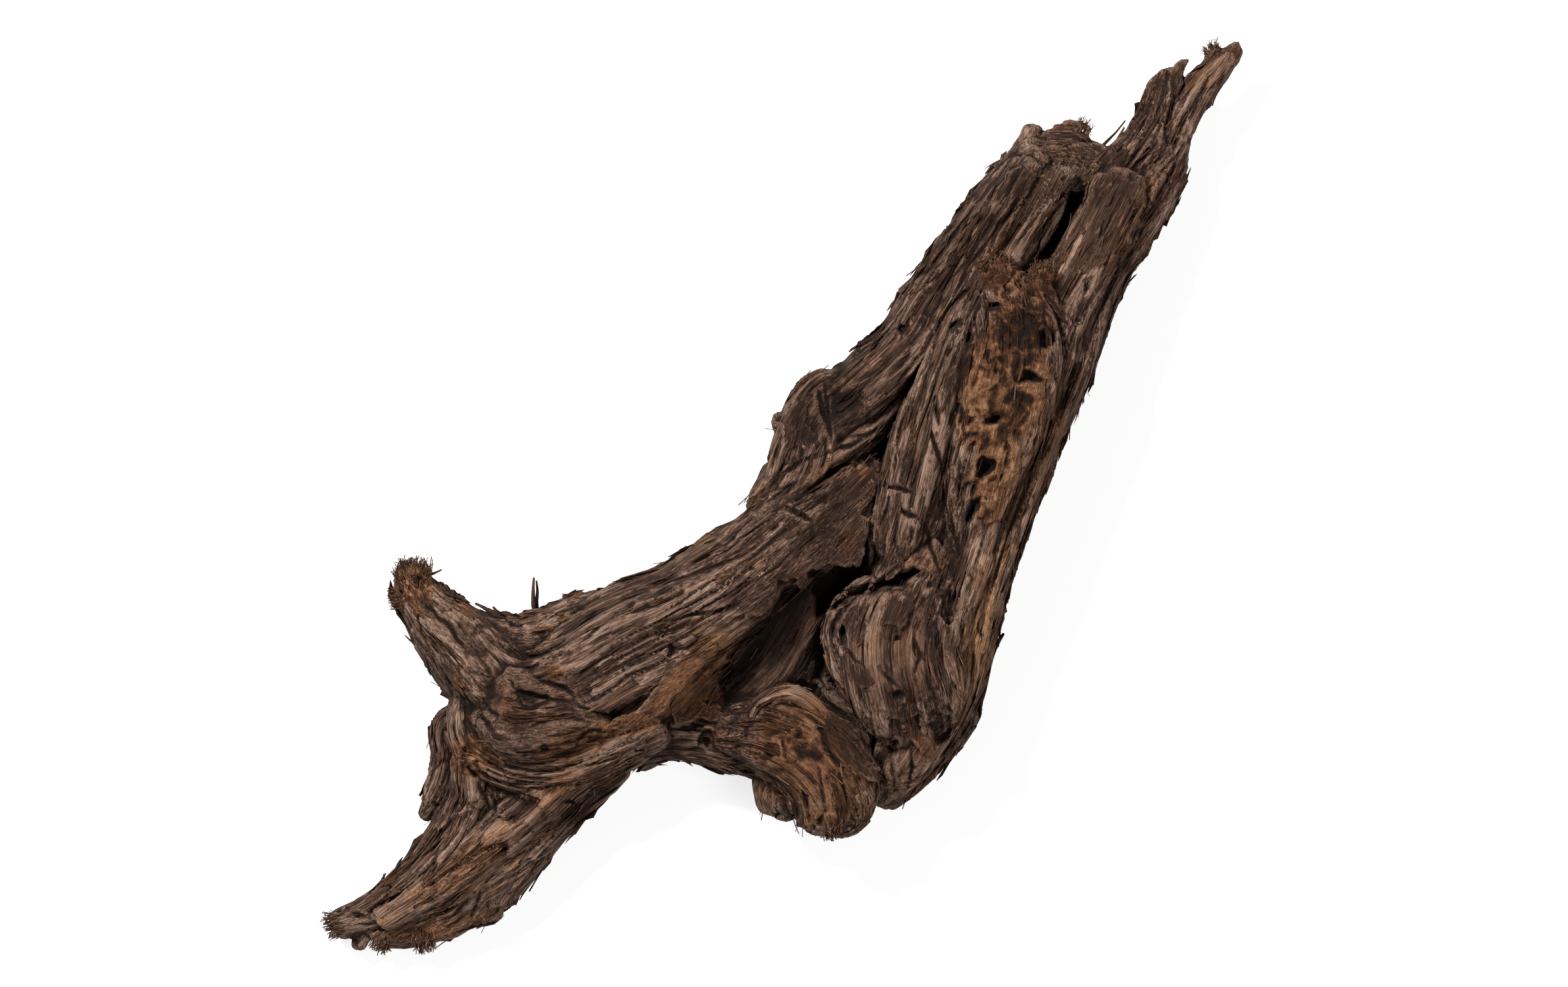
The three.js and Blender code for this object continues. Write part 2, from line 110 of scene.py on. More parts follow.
# Sections are [x, y, z, half width, half depth].
LIMBS = {
    "trunk_core": limb(5, [
        [44, -34, 22, 16, 18], [60, -4, 26, 26, 24], [70, 34, 28, 29, 24], [86, 70, 27, 28, 22],
        [102, 98, 24, 22, 20],
    ]),
    "right_band": limb(7, [
        [44, -123, 24, 7, 16], [55, -108, 29, 12, 32], [68, -82, 37, 14, 32], [76, -48, 40, 14, 35],
        [87, -12, 42, 15, 36], [101, 25, 43, 15, 35], [113, 55, 42, 16, 33], [124, 85, 39, 15, 28],
        [140, 112, 34, 13, 22], [156, 134, 28, 11, 16], [165, 148, 26, 7, 10],
    ]),
    "burl": limb(5, [
        [78, -20, 48, 10, 22], [84, 8, 56, 17, 30], [92, 38, 60, 22, 32], [97, 62, 60, 22, 31],
        [96, 80, 56, 15, 24], [92, 93, 52, 8, 14],
    ]),
    "burl_horn": limb(0, [[100, 70, 56, 6, 12], [107, 84, 58, 7, 11], [110, 95, 57, 4.5, 7]]),
    "burl_rim": limb(0, [
        [103, 89, 60, 4, 8], [112, 82, 62, 4, 9], [119, 72, 62, 3.4, 8], [121, 62, 60, 2, 6],
    ]),
    "grey_band": limb(6, [
        [46, -34, 44, 8, 20], [53, -10, 50, 14, 29], [60, 18, 53, 15, 32], [67, 46, 54, 12, 31],
        [76, 72, 52, 9, 25], [85, 92, 49, 6, 18],
    ]),
    "left_trunk": limb(6, [
        [-4, -8, 34, 12, 24], [9, 10, 38, 14, 27], [17, 30, 39, 14, 28], [34, 45, 41, 12.5, 28],
        [53, 63, 41, 12.5, 28], [66, 83, 39, 12.5, 26], [80, 102, 37, 12.5, 24],
        [92, 121, 35, 11.5, 21], [104, 138, 33, 10.5, 17], [108, 150, 32, 6, 9],
    ]),
    "ridge_outer": limb(3, [
        [106, 141, 42, 5, 12], [94, 122, 46, 7, 17], [83, 104, 48, 8, 19], [71, 84, 49, 7, 19],
        [60, 64, 47, 5, 16],
    ]),
    "ridge_inner": limb(3, [
        [118, 138, 40, 5, 13], [108, 120, 43, 7, 18], [98, 104, 45, 8, 19], [89, 88, 46, 7, 18],
    ]),
    "trough_floor": limb(5, [
        [136, 143, 23, 14, 11], [119, 122, 17, 16, 18.5], [107, 100, 17, 16, 18], [98, 80, 24, 15, 18],
    ]),
    "slab": limb(3, [
        [146, 136, 43, 9.5, 8], [134, 113, 50, 12.5, 11], [123, 91, 53, 13, 12], [114, 69, 54, 12, 12],
        [109, 55, 50, 8, 9],
    ]),
    "crown_left": limb(4, [
        [138, 132, 30, 11, 15], [147, 143, 30, 9.5, 13], [154, 152, 31, 8, 11], [159.5, 162, 31, 6.5, 9],
        [162, 171, 31, 4.8, 7.5], [164, 178, 31, 2.6, 6],
    ]),
    "crown_right": limb(4, [
        [158, 138, 26, 9.5, 13], [165, 152, 28, 7.5, 11], [171, 163, 29, 5.6, 9], [178, 174, 30, 4.6, 8],
        [185, 182, 30, 3.8, 7], [190, 188, 30, 1.6, 5.5],
    ]),
    "crown_rim": limb(4, [
        [103, 146, 30, 6, 12], [112, 147, 31, 6, 11], [122, 147.5, 28, 4.6, 9], [132, 144, 26, 5.5, 9],
        [142, 138, 28, 7, 10],
    ]),
    "crown_peg": limb(0, [[104, 148, 34, 3.4, 5], [106.5, 157, 34, 2.4, 3.4]]),
    "shoulder_lip": limb(3, [
        [-1, 14, 42, 5, 17], [3, 26, 46, 5, 18], [7, 36, 48, 5, 16], [15, 46, 47, 5, 14],
        [27, 50, 43, 4, 12],
    ]),
    "shoulder_knot": limb(0, [[4, 30, 40, 3.5, 5], [-3, 32, 41, 2.4, 3.4]]),
    "shoulder_fold": limb(3, [
        [-4, 4, 47, 6, 12], [8, 14, 51, 6, 12], [24, 20, 51, 6, 13], [38, 31, 48, 5, 13],
        [50, 46, 46, 4, 12],
    ]),
    "upper_arm": limb(6, [
        [38, 15, 47, 5, 11], [24, 1, 50, 13, 19], [5, -17, 52, 19, 26], [-18, -36, 52, 21, 31],
        [-42, -51, 52, 22, 33], [-68, -64, 50, 24, 34], [-88, -75, 46, 22, 32], [-106, -82, 42, 16, 27],
    ]),
    "flap": limb(0, roll=-8, rows=[
        [40, 9, 55, 4, 3], [30, -7, 61, 8.5, 4.5], [18, -19, 63, 10, 5], [4, -29, 62, 7.5, 4.5],
        [-8, -34, 58, 4, 4],
    ]),
    "flap_tooth": limb(0, [[8, -27, 60, 4, 4], [7.5, -34, 59, 3, 3], [7, -38, 57, 1, 1.5]]),
    "elbow": limb(6, [
        [-76, -88, 42, 14, 28], [-97, -91, 42, 22, 36], [-114, -91, 39, 23, 42],
        [-128, -88, 38, 13, 28],
    ]),
    "horn": limb(5, [
        [-104, -90, 42, 18, 28], [-126, -73, 44, 18, 26], [-141.5, -57, 46, 13, 19],
        [-152, -47, 48, 9.5, 13], [-157, -38, 49, 8.4, 9.5], [-157, -30, 49, 6.4, 7],
    ]),
    "web": limb(4, [
        [-134, -58, 38, 10, 15], [-114, -64, 38, 13, 20], [-97, -62, 40, 15, 22],
        [-82, -56, 42, 15, 23], [-66, -52, 42, 11, 20],
    ]),
    "web_crest": limb(0, [
        [-118, -58, 44, 3, 6], [-104, -55, 47, 4, 7], [-90, -48, 48, 4, 7], [-78, -43, 47, 3, 6],
    ]),
    "swirl": limb(3, [
        [-134, -84, 40, 6, 20], [-132, -102, 39, 8, 22], [-116, -112, 39, 10, 25],
        [-92, -112, 39, 11, 26], [-72, -105, 38, 10, 24], [-52, -97, 37, 8, 20],
    ]),
    "post": limb(3, [
        [-132, -98, 34, 6, 17], [-133, -114, 33, 6.5, 17], [-133, -127, 29, 6.5, 15],
        [-139, -139, 25, 6, 13],
    ]),
    "foot_root": limb(4, [
        [-108, -98, 26, 18, 22], [-116, -116, 25, 17, 20], [-122, -136, 22, 17, 16],
        [-136, -154, 18, 15, 12],
    ]),
    "foot_left": limb(3, [
        [-130, -120, 27, 8, 16], [-143, -146, 25, 8.5, 15], [-160, -165, 21, 8, 12],
        [-176, -177, 18, 6.4, 9], [-191, -183.5, 16, 4.6, 6],
    ]),
    "foot_inner": limb(0, [
        [-131, -128, 31, 5, 13], [-140, -145, 30, 5, 13], [-153, -160, 27, 5, 11],
        [-168, -173, 22, 3.5, 8],
    ]),
    "foot_middle": limb(3, [
        [-76, -106, 34, 9, 20], [-97, -123, 35, 10, 22], [-116, -140, 33, 9, 21],
        [-135, -155, 29, 8, 17], [-154, -169.5, 24, 7, 13], [-171, -180, 20, 4.5, 8],
    ]),
    "foot_lower": limb(3, [
        [-84, -121, 26, 7, 16], [-100, -137, 27, 8, 16], [-113, -151, 25, 8, 15],
        [-130, -163, 22, 7.5, 12], [-150, -175, 18, 6, 9], [-166, -183, 16, 3.5, 6],
    ]),
    "foot_right": limb(3, [
        [-70, -112, 25, 6, 14], [-88, -126, 23, 8, 15], [-104, -141, 21, 10, 15],
        [-115, -154, 19, 11, 13], [-126, -169, 16, 9.5, 10], [-126, -177, 14, 5, 6],
    ]),
    "foot_fan": limb(3, [
        [-118, -148, 18, 14, 12], [-132, -164, 16, 16, 10], [-146, -176, 14.5, 13, 8],
        [-160, -184, 14, 7, 6], [-174, -187, 14, 4, 4],
    ]),
    "foot_nub": limb(0, [[-178, -184, 15, 3, 4], [-181, -189, 14, 2.6, 3], [-182, -193, 13, 2, 2]]),
    "hanging_splinter": limb(0, [
        [-135, -91, 29, 4, 8], [-144, -96, 26, 3.8, 7], [-144, -112, 23, 4.4, 6],
        [-148, -125, 20, 3.6, 5], [-153.5, -136, 18, 1.8, 2.4],
    ]),
    "short_splinter": limb(0, [
        [-136, -104, 25, 4, 7], [-141, -118, 21, 3.2, 5], [-145, -131, 18, 1.2, 2],
    ]),
    "bridge": limb(4, [
        [-100, -118, 25, 9, 16], [-78, -108, 27, 9, 18], [-54, -101, 28, 9, 20],
        [-30, -102, 30, 10, 20], [-8, -108, 32, 11, 20],
    ]),
    "bridge_lip": limb(0, [
        [-62, -113, 22, 4, 8], [-46, -106, 24, 3.6, 8], [-30, -110, 24, 4, 8], [-14, -112, 26, 4, 9],
    ]),
    "tongue": limb(3, [
        [24, -16, 31, 8, 14], [13, -38, 35, 11, 16], [3, -56, 38, 13, 17], [-6, -71, 37, 13, 16],
        [-19, -83, 33, 9, 14], [-32, -92, 31, 5, 10],
    ]),
    "tongue_under": limb(3, [
        [36, -16, 30, 8, 12], [27, -38, 30, 8, 12], [18, -58, 29, 8, 12], [8, -74, 27, 7, 12],
    ]),
    "fold_upper": limb(0, roll=14, rows=[
        [0, -46, 49, 4, 9], [-20, -60, 51, 6, 11], [-37, -75, 50, 7, 12], [-51, -88, 47, 6.5, 12],
        [-70, -96, 44, 5, 11], [-86, -97, 42, 3, 9],
    ]),
    "fold_lower": limb(0, roll=18, rows=[
        [-22, -64, 44, 3.5, 7], [-31, -75, 46, 6, 8], [-38, -86, 45, 7, 8], [-47, -95, 42, 2, 4],
    ]),
    "fold_knob": limb(0, [[-37, -86, 43, 4, 6], [-31, -89, 45, 4.8, 6], [-26, -92, 43, 3.4, 4]]),
    "fold_back": limb(3, [[-16, -58, 26, 14, 16], [-34, -76, 27, 15, 17], [-54, -92, 28, 13, 18]]),
    "hollow_back": limb(3, [
        [34, -26, 18, 14, 10], [20, -52, 17, 22, 11], [4, -76, 17, 26, 12], [-6, -96, 20, 22, 13],
    ]),
    "hollow_side": limb(3, [
        [44, -20, 26, 12, 18], [38, -52, 24, 15, 18], [38, -84, 24, 17, 18], [40, -110, 24, 15, 18],
    ]),
    "hollow_strut": limb(0, [
        [13, -68, 33, 1.6, 4], [17, -78, 36, 1.6, 3], [24, -87, 38, 1.6, 3], [34, -92, 42, 1.8, 4],
    ]),
    "knob": limb(4, [
        [64, -26, 50, 10, 22], [54, -44, 56, 20, 29], [49, -63, 59, 25, 33], [52, -80, 56, 24, 30],
        [55, -94, 48, 13, 20],
    ]),
    "knob_lip": limb(0, [
        [37, -36, 66, 2.6, 5], [25, -45, 66, 3.2, 8], [20, -56, 65, 3.4, 9], [23, -69, 64, 3.6, 9],
        [29, -81, 61, 3.6, 9], [36, -90, 57, 3.4, 8], [46, -96, 52, 2.6, 6],
    ]),
    "base": limb(5, [
        [78, -86, 34, 7, 22], [66, -97, 32, 11, 25], [54, -109, 30, 12, 26], [46, -120, 27, 10, 21],
        [42, -129, 25, 5, 10],
    ]),
    "base_strut": limb(0, [[48, -94, 48, 3, 8], [56, -100, 52, 2.6, 6], [63, -108, 50, 1.8, 5]]),
    "knuckle": limb(5, [
        [-26, -99, 35, 8, 14], [-9, -100, 42, 15, 24], [7, -106, 47, 20, 32], [17, -116, 45, 21, 32],
        [20, -127, 38, 17, 24], [18, -135, 32, 8, 12],
    ]),
    "knuckle_rim": limb(0, [
        [-14, -100, 54, 3, 8], [-9, -88, 60, 3.2, 9], [2, -83.5, 63, 3.4, 9], [12, -88, 64, 3.6, 9],
        [20, -100, 62, 3.8, 9], [28, -111, 57, 3.6, 8], [40, -117, 51, 2.2, 4],
    ]),
    "stub": limb(0, [[4, -112, 36, 9, 15], [-1, -121, 40, 10.5, 16], [-1, -130, 36, 8.5, 12]]),
}

# Hollows are sunken places: (depth, width of the wall, outline).
HOLLOWS = [
    (13, 3, [
        119, 135, 116, 128, 111, 121, 108, 113, 106, 104, 101, 96, 96, 88, 99, 86, 102, 92, 106, 98,
        112, 98, 117, 106, 122, 114, 127, 124, 131, 132, 126, 136,
    ]),
    (12, 1.6, [39, 38, 43, 42, 48, 48, 53, 54, 58, 60, 62, 67, 60, 58, 56, 52, 51, 46, 47, 40, 42, 37]),
    (5, 9, [18, 50, 27, 49, 35, 45, 38, 40, 36, 34, 30, 30, 23, 22, 19, 22, 15, 28, 14, 36, 15, 45]),
    (11, 3, [30, 15, 35, 11, 40, 14, 44, 21, 47, 28, 51, 37, 46, 35, 40, 28, 33, 22]),
    (12, 3, [
        8, -30, 14, -24, 24, -20, 31, -14, 37, -12, 41, -21, 44, -25, 42, -29, 37, -31, 32, -36,
        28, -40, 22, -44, 17, -50, 13, -52, 12, -42, 10, -36,
    ]),
    (8, 2.5, [58, -94, 65, -90, 71, -87, 72, -98, 69, -105, 64, -104, 60, -98]),
    (6, 2.5, [67, -39, 72, -37, 76, -39, 74, -45, 72, -52, 68, -54, 65, -51]),
    (8, 2, [-37, -100, -33, -98.5, -29, -101, -30, -107, -34, -106]),
    (5, 1.5, [-9, -106, -5, -103, -1, -104, -2, -109, -7, -109]),
    (6, 4, [
        -122, -126, -113, -124, -104, -125, -101, -128, -106, -134, -114, -139, -121, -138, -124, -132,
    ]),
    (5, 3, [-127, -154, -120, -149, -113, -151, -118, -156, -128, -162, -138, -166, -134, -160]),
    (4, 1.5, [-114, -80, -107, -81, -99, -84, -93, -86, -101, -87, -109, -88, -112, -85]),
    (4, 1.5, [-88, -106, -86, -102, -82, -98, -76, -99, -80, -103]),
    (4, 2, [121, 74, 123, 81, 127, 86, 129, 84, 126, 77, 122, 70]),
    (5, 2.5, [-50, -60, -44, -60, -42, -63, -47, -69, -50, -73]),
    (5, 2, [-40, -76, -36, -71, -31, -68, -29, -71, -33, -76, -38, -79, -43, -81]),
    (6, 2, [-53, -93, -48, -93, -47, -97, -40, -96, -33, -95, -30, -97, -36, -99, -46, -100, -53, -98]),
]

# Floors are places where nothing stands above a level: (level, width of the wall, outline).
FLOORS = [
    (53, 3, [
        0, -37, 6, -36, 11, -37, 14, -46, 14, -58, 10, -68, 3, -78, -5, -82, -15, -86, -25, -88,
        -24, -79, -21, -70, -27, -69, -21, -61, -13, -55, -7, -50, -4, -43,
    ]),
    (40, 2.5, [
        12, -30, 20, -28, 30, -27, 33, -19, 37, -13, 41, -21, 44, -25, 40, -30, 33, -33, 31, -37,
        27, -41, 20, -46, 15, -52, 13, -50, 15, -40,
    ]),
    (28, 2.5, [
        14, -60, 17, -60, 20, -68, 24, -76, 29, -84, 33, -91, 27, -89, 19, -83, 13, -80, 5, -80,
        10, -74, 13, -67,
    ]),
    (26, 2.5, [-27, -70, -21, -68, -20, -74, -24, -80, -28, -85, -29, -79, -28, -74]),
    (48, 3, [30, 14, 35, 11, 40, 13, 43, 18, 46, 25, 49, 33, 45, 33, 40, 27, 34, 22]),
    (33, 1.5, [
        105, 97, 109, 99, 114, 98, 119, 106, 124, 114, 129, 124, 133, 132, 127, 136, 120, 136, 114, 127,
        109, 117, 106, 108,
    ]),
    (46, 4, [12, -44, 33, -36, 44, -31, 55, -27, 60, -32, 52, -38, 40, -42, 30, -44, 22, -50]),
    (27, 2.5, [
        32, -91, 38, -97, 45, -100, 51, -100, 48, -104, 41, -107, 38, -112, 36, -112, 35, -107,
        36, -103, 33, -98,
    ]),
]

# Sheets are torn plates: (thickness, lift at the root, lift at the torn end, way to the torn end in
# degrees, raggedness, outline).
SHEETS = [
    (4, 0, 4, 48, 0.7, [
        29, 14.5, 30.5, 11.5, 33, 12, 35, 12.8, 36, 10.5, 38, 12, 39, 10, 41.5, 9.5, 43, 8, 38, 2,
        33, -4, 30, -9, 24, -9.5, 20, -14, 12, -18, 2, -18, -4, -13, 2, -9, 8, -4, 14, 1, 20, 6, 25, 10,
    ]),
    (3.5, 2.5, 6, -50, 0.6, [
        23, -10, 31, -8, 36, -9, 36, -14, 33, -20, 31.5, -28.5, 29, -27.2, 26, -28.6, 22, -28,
        19, -28.3, 16, -30.5, 13, -29.8, 10.7, -31, 10, -35, 8, -38.5, 6.8, -37.5, 6, -34.2, 3, -34,
        0.5, -35, -2, -36, -3, -41, -5, -46, -9, -50, -16, -50, -20, -42, -12, -30, 0, -20, 12, -14,
    ]),
    (3, -1, 2.5, -120, 0.5, [
        51, -15, 56, -17, 56, -20, 53, -25, 50, -30, 46, -33.5, 43, -34.5, 43, -31, 46, -27, 49, -22,
    ]),
    (3, -0.5, 1.5, -95, 0.5, [
        44, 4, 48, 3.5, 49, -2, 48, -9, 47, -15, 48, -20, 46, -23, 43, -21, 40, -18, 40, -14, 42, -9,
        43, -3,
    ]),
    (5, 0, 2, 0, 0.6, [
        -1, 18, 3, 20, 8, 22, 11, 21.5, 14, 24, 13, 26, 11, 28, 10, 31, 10, 36, 10, 39, 7, 40, 3, 40,
        0, 35, -1, 30,
    ]),
    (3, -1, 1.5, 30, 0.6, [0, 10, 6, 12, 11, 12, 10, 8, 10, 4, 6, 3, 2, 5]),
    (3, -1, 1.5, 80, 0.7, [-14, -6, -9, -8, -4, -8, 0, -6, 5, -8, 3, -12, -4, -15, -12, -14]),
    (6, -1, 1.5, 62, 0.5, [
        133, 136, 135, 137.2, 137, 136.6, 140, 137.4, 142, 136, 145, 135, 148, 134, 149, 136.3,
        152.5, 136, 152.8, 130, 153, 123, 148, 112, 142, 100, 137, 88, 130, 74, 124, 72, 122, 80,
        116, 88, 113, 97, 119, 108, 124, 118, 127, 124, 130, 131,
    ]),
    (9, -1, 0.5, 62, 0.3, [
        140, 146, 145, 154, 150, 163.5, 153, 170.5, 156, 177, 160, 180.8, 163, 182, 167, 183,
        169, 185.3, 172.5, 187, 170.8, 184, 169.6, 181, 169.6, 178, 170, 176, 167, 168, 163, 158,
        158, 148, 150, 140, 142, 138,
    ]),
    (9, -1, 0.5, 58, 0.4, [
        171, 176.5, 173, 180, 176, 182, 179.5, 184, 180, 188.5, 182, 190, 183.5, 191, 186, 190.5,
        189, 190, 191, 192.3, 193.3, 193.7, 194.5, 190, 194, 186, 190, 181, 186, 177.5, 182, 172,
        179, 166.5, 175, 160, 172, 153, 168, 148, 160, 145, 162, 152, 165.5, 160, 168.5, 168,
    ]),
    (5, -5, 1.5, 70, 0.4, [
        111, 149, 118, 150, 125, 150, 130, 149.3, 135, 149, 140, 147, 145, 143.5, 141, 137, 132, 134,
        124, 130, 117, 135, 110, 138, 106, 143,
    ]),
    (5, 0, 0, 90, 0.4, [
        110, 154, 113, 156.5, 117, 159, 122, 160.3, 127, 159.5, 130, 157.5, 131, 155.5, 128, 157.5,
        125.5, 157, 124.5, 155.5, 126, 154.5, 128.5, 155.3, 130, 153, 126, 150.5, 118, 151, 112, 150.5,
    ]),
    (6, -1.5, 1, 55, 0.6, [
        70, 88, 76, 92, 84, 101, 92, 112, 100, 124, 107, 137, 104, 138.5, 101, 140.5, 97, 139, 90, 130,
        83, 119, 76, 108, 68, 98, 63, 90,
    ]),
    (6, -1, 1.5, 58, 0.7, [
        93, 100, 98, 106, 103, 112, 108, 111, 108, 116, 112, 122, 117, 130, 119, 136.5, 116, 138,
        112, 137.5, 108, 135.5, 105, 135, 100, 126, 95, 117, 90, 108, 88, 102,
    ]),
    (6, 0, 3.5, 60, 0.8, [
        76, 88, 80, 93.5, 83, 94, 85, 95.5, 86, 94, 87, 98, 90, 100.3, 92, 98.5, 95, 98, 96.3, 95,
        94, 92, 93, 89, 95, 86, 90, 84, 84, 83, 79, 84,
    ]),
    (5, -0.5, 3, 80, 0.6, [
        100.5, 91, 103, 93, 105, 92.5, 106, 95.5, 109, 96.8, 112, 96, 113.5, 93.5, 113.5, 90, 115, 86,
        117, 80, 120, 76, 122, 70, 121, 67, 119, 70, 116, 76, 112, 82, 106, 84, 101, 85,
    ]),
    (5, 1, 2.5, 0, 0.5, [
        91, 88, 93, 85, 97, 84, 100, 82.5, 103, 79, 107, 77, 109, 74.5, 110, 73, 108, 73.5, 105, 76,
        101, 78, 98, 80.5, 93, 82, 90, 84,
    ]),
    (3, -1, 0, 200, 0.5, [
        52.5, 84, 54, 87, 56, 90.5, 60, 92, 62, 88, 58, 84, 57, 82.5, 55, 84.5, 53, 83,
    ]),
    (4, -0.5, 2.5, -60, 0.3, [
        -50, -59.7, -42, -59, -36, -58, -30, -55, -22, -53, -13, -52, -9, -51, -14, -56, -20, -60,
        -27, -64, -31, -67.5, -36, -72, -40, -77, -43, -81, -47, -84, -50, -90, -55, -93, -62, -96,
        -70, -97.5, -76, -98, -72, -94, -62, -90, -56, -84, -51, -76, -49, -70, -43, -64,
    ]),
    (4, 0, 2, -70, 0.3, [
        -38, -74, -33, -70, -28.5, -72, -28, -78, -27.5, -84, -30, -86, -35, -85.5, -31, -88,
        -27, -89.5, -25, -92.5, -27, -95.5, -32, -94, -36, -93, -41, -95, -46, -97.3, -46.5, -94,
        -48, -88, -46, -84, -42, -79,
    ]),
    (3, -0.5, 1.5, -60, 0.4, [
        24, -62, 28, -65, 30, -68, 33, -70, 36, -73, 37, -77, 35, -80, 31, -80, 27, -76, 23, -69,
    ]),
    (3, -1, 1.2, -90, 0.5, [
        30, -42, 40, -41, 50, -40, 54, -44, 52, -50, 49, -55, 46, -54, 43, -53, 39, -53.5, 36, -55,
        33.5, -58, 34, -62, 31, -62, 27, -58, 25, -52, 27, -46,
    ]),
    (4, -1, 1, -80, 0.4, [
        40, -92, 46, -93, 52, -93, 58, -91.5, 65, -88.5, 71, -86, 70, -82, 62, -84, 54, -87, 46, -88,
    ]),
    (3, -1, 2, -55, 0.4, [
        48, -93, 55, -92, 58, -96, 61, -102, 63.5, -106.5, 62, -109, 59, -108, 55, -104, 52, -99,
    ]),
    (4, 0, 2, -60, 0.5, [
        12, -88, 20, -90.5, 27, -95, 31, -100, 34, -106, 36, -112, 41, -114.5, 40, -120, 36, -118.5,
        30, -117, 25, -113, 21, -108, 18, -103, 15.5, -97, 11, -92,
    ]),
    (3, -0.5, 1.5, 30, 0.2, [
        -109, -66, -108, -64, -103, -63.5, -98, -61.5, -93, -58.5, -90, -57, -91, -60, -95, -63,
        -100, -66, -105, -67.2,
    ]),
    (4, -1, 1, 212, 0.3, [
        -174.5, -177, -173, -174.5, -168, -172.5, -160, -167.5, -150, -160.5, -140, -154, -128, -147,
        -118, -140, -112, -138, -112, -143, -120, -149, -130, -158, -142, -166, -152, -171.5,
        -160, -176.5, -166, -181, -170, -183, -173, -181.5,
    ]),
    (4, -1, 0.5, 215, 0.3, [
        -185, -176, -178, -171, -171, -163, -165, -160, -158, -152, -150, -143, -145, -138, -143, -143,
        -146, -148, -148, -153, -152, -158, -158, -163, -164, -168, -170, -173, -178, -177.3,
    ]),
    (4, -1, 0, -60, 0.8, [
        -178, -187, -174, -190, -170, -191.5, -165, -189.7, -158, -190, -154, -189.5, -147, -188,
        -142, -186.5, -135, -183.5, -130, -181.5, -122, -181.8, -120.5, -178, -118, -174, -112, -165,
        -120, -163, -135, -170, -150, -178, -165, -184,
    ]),
]

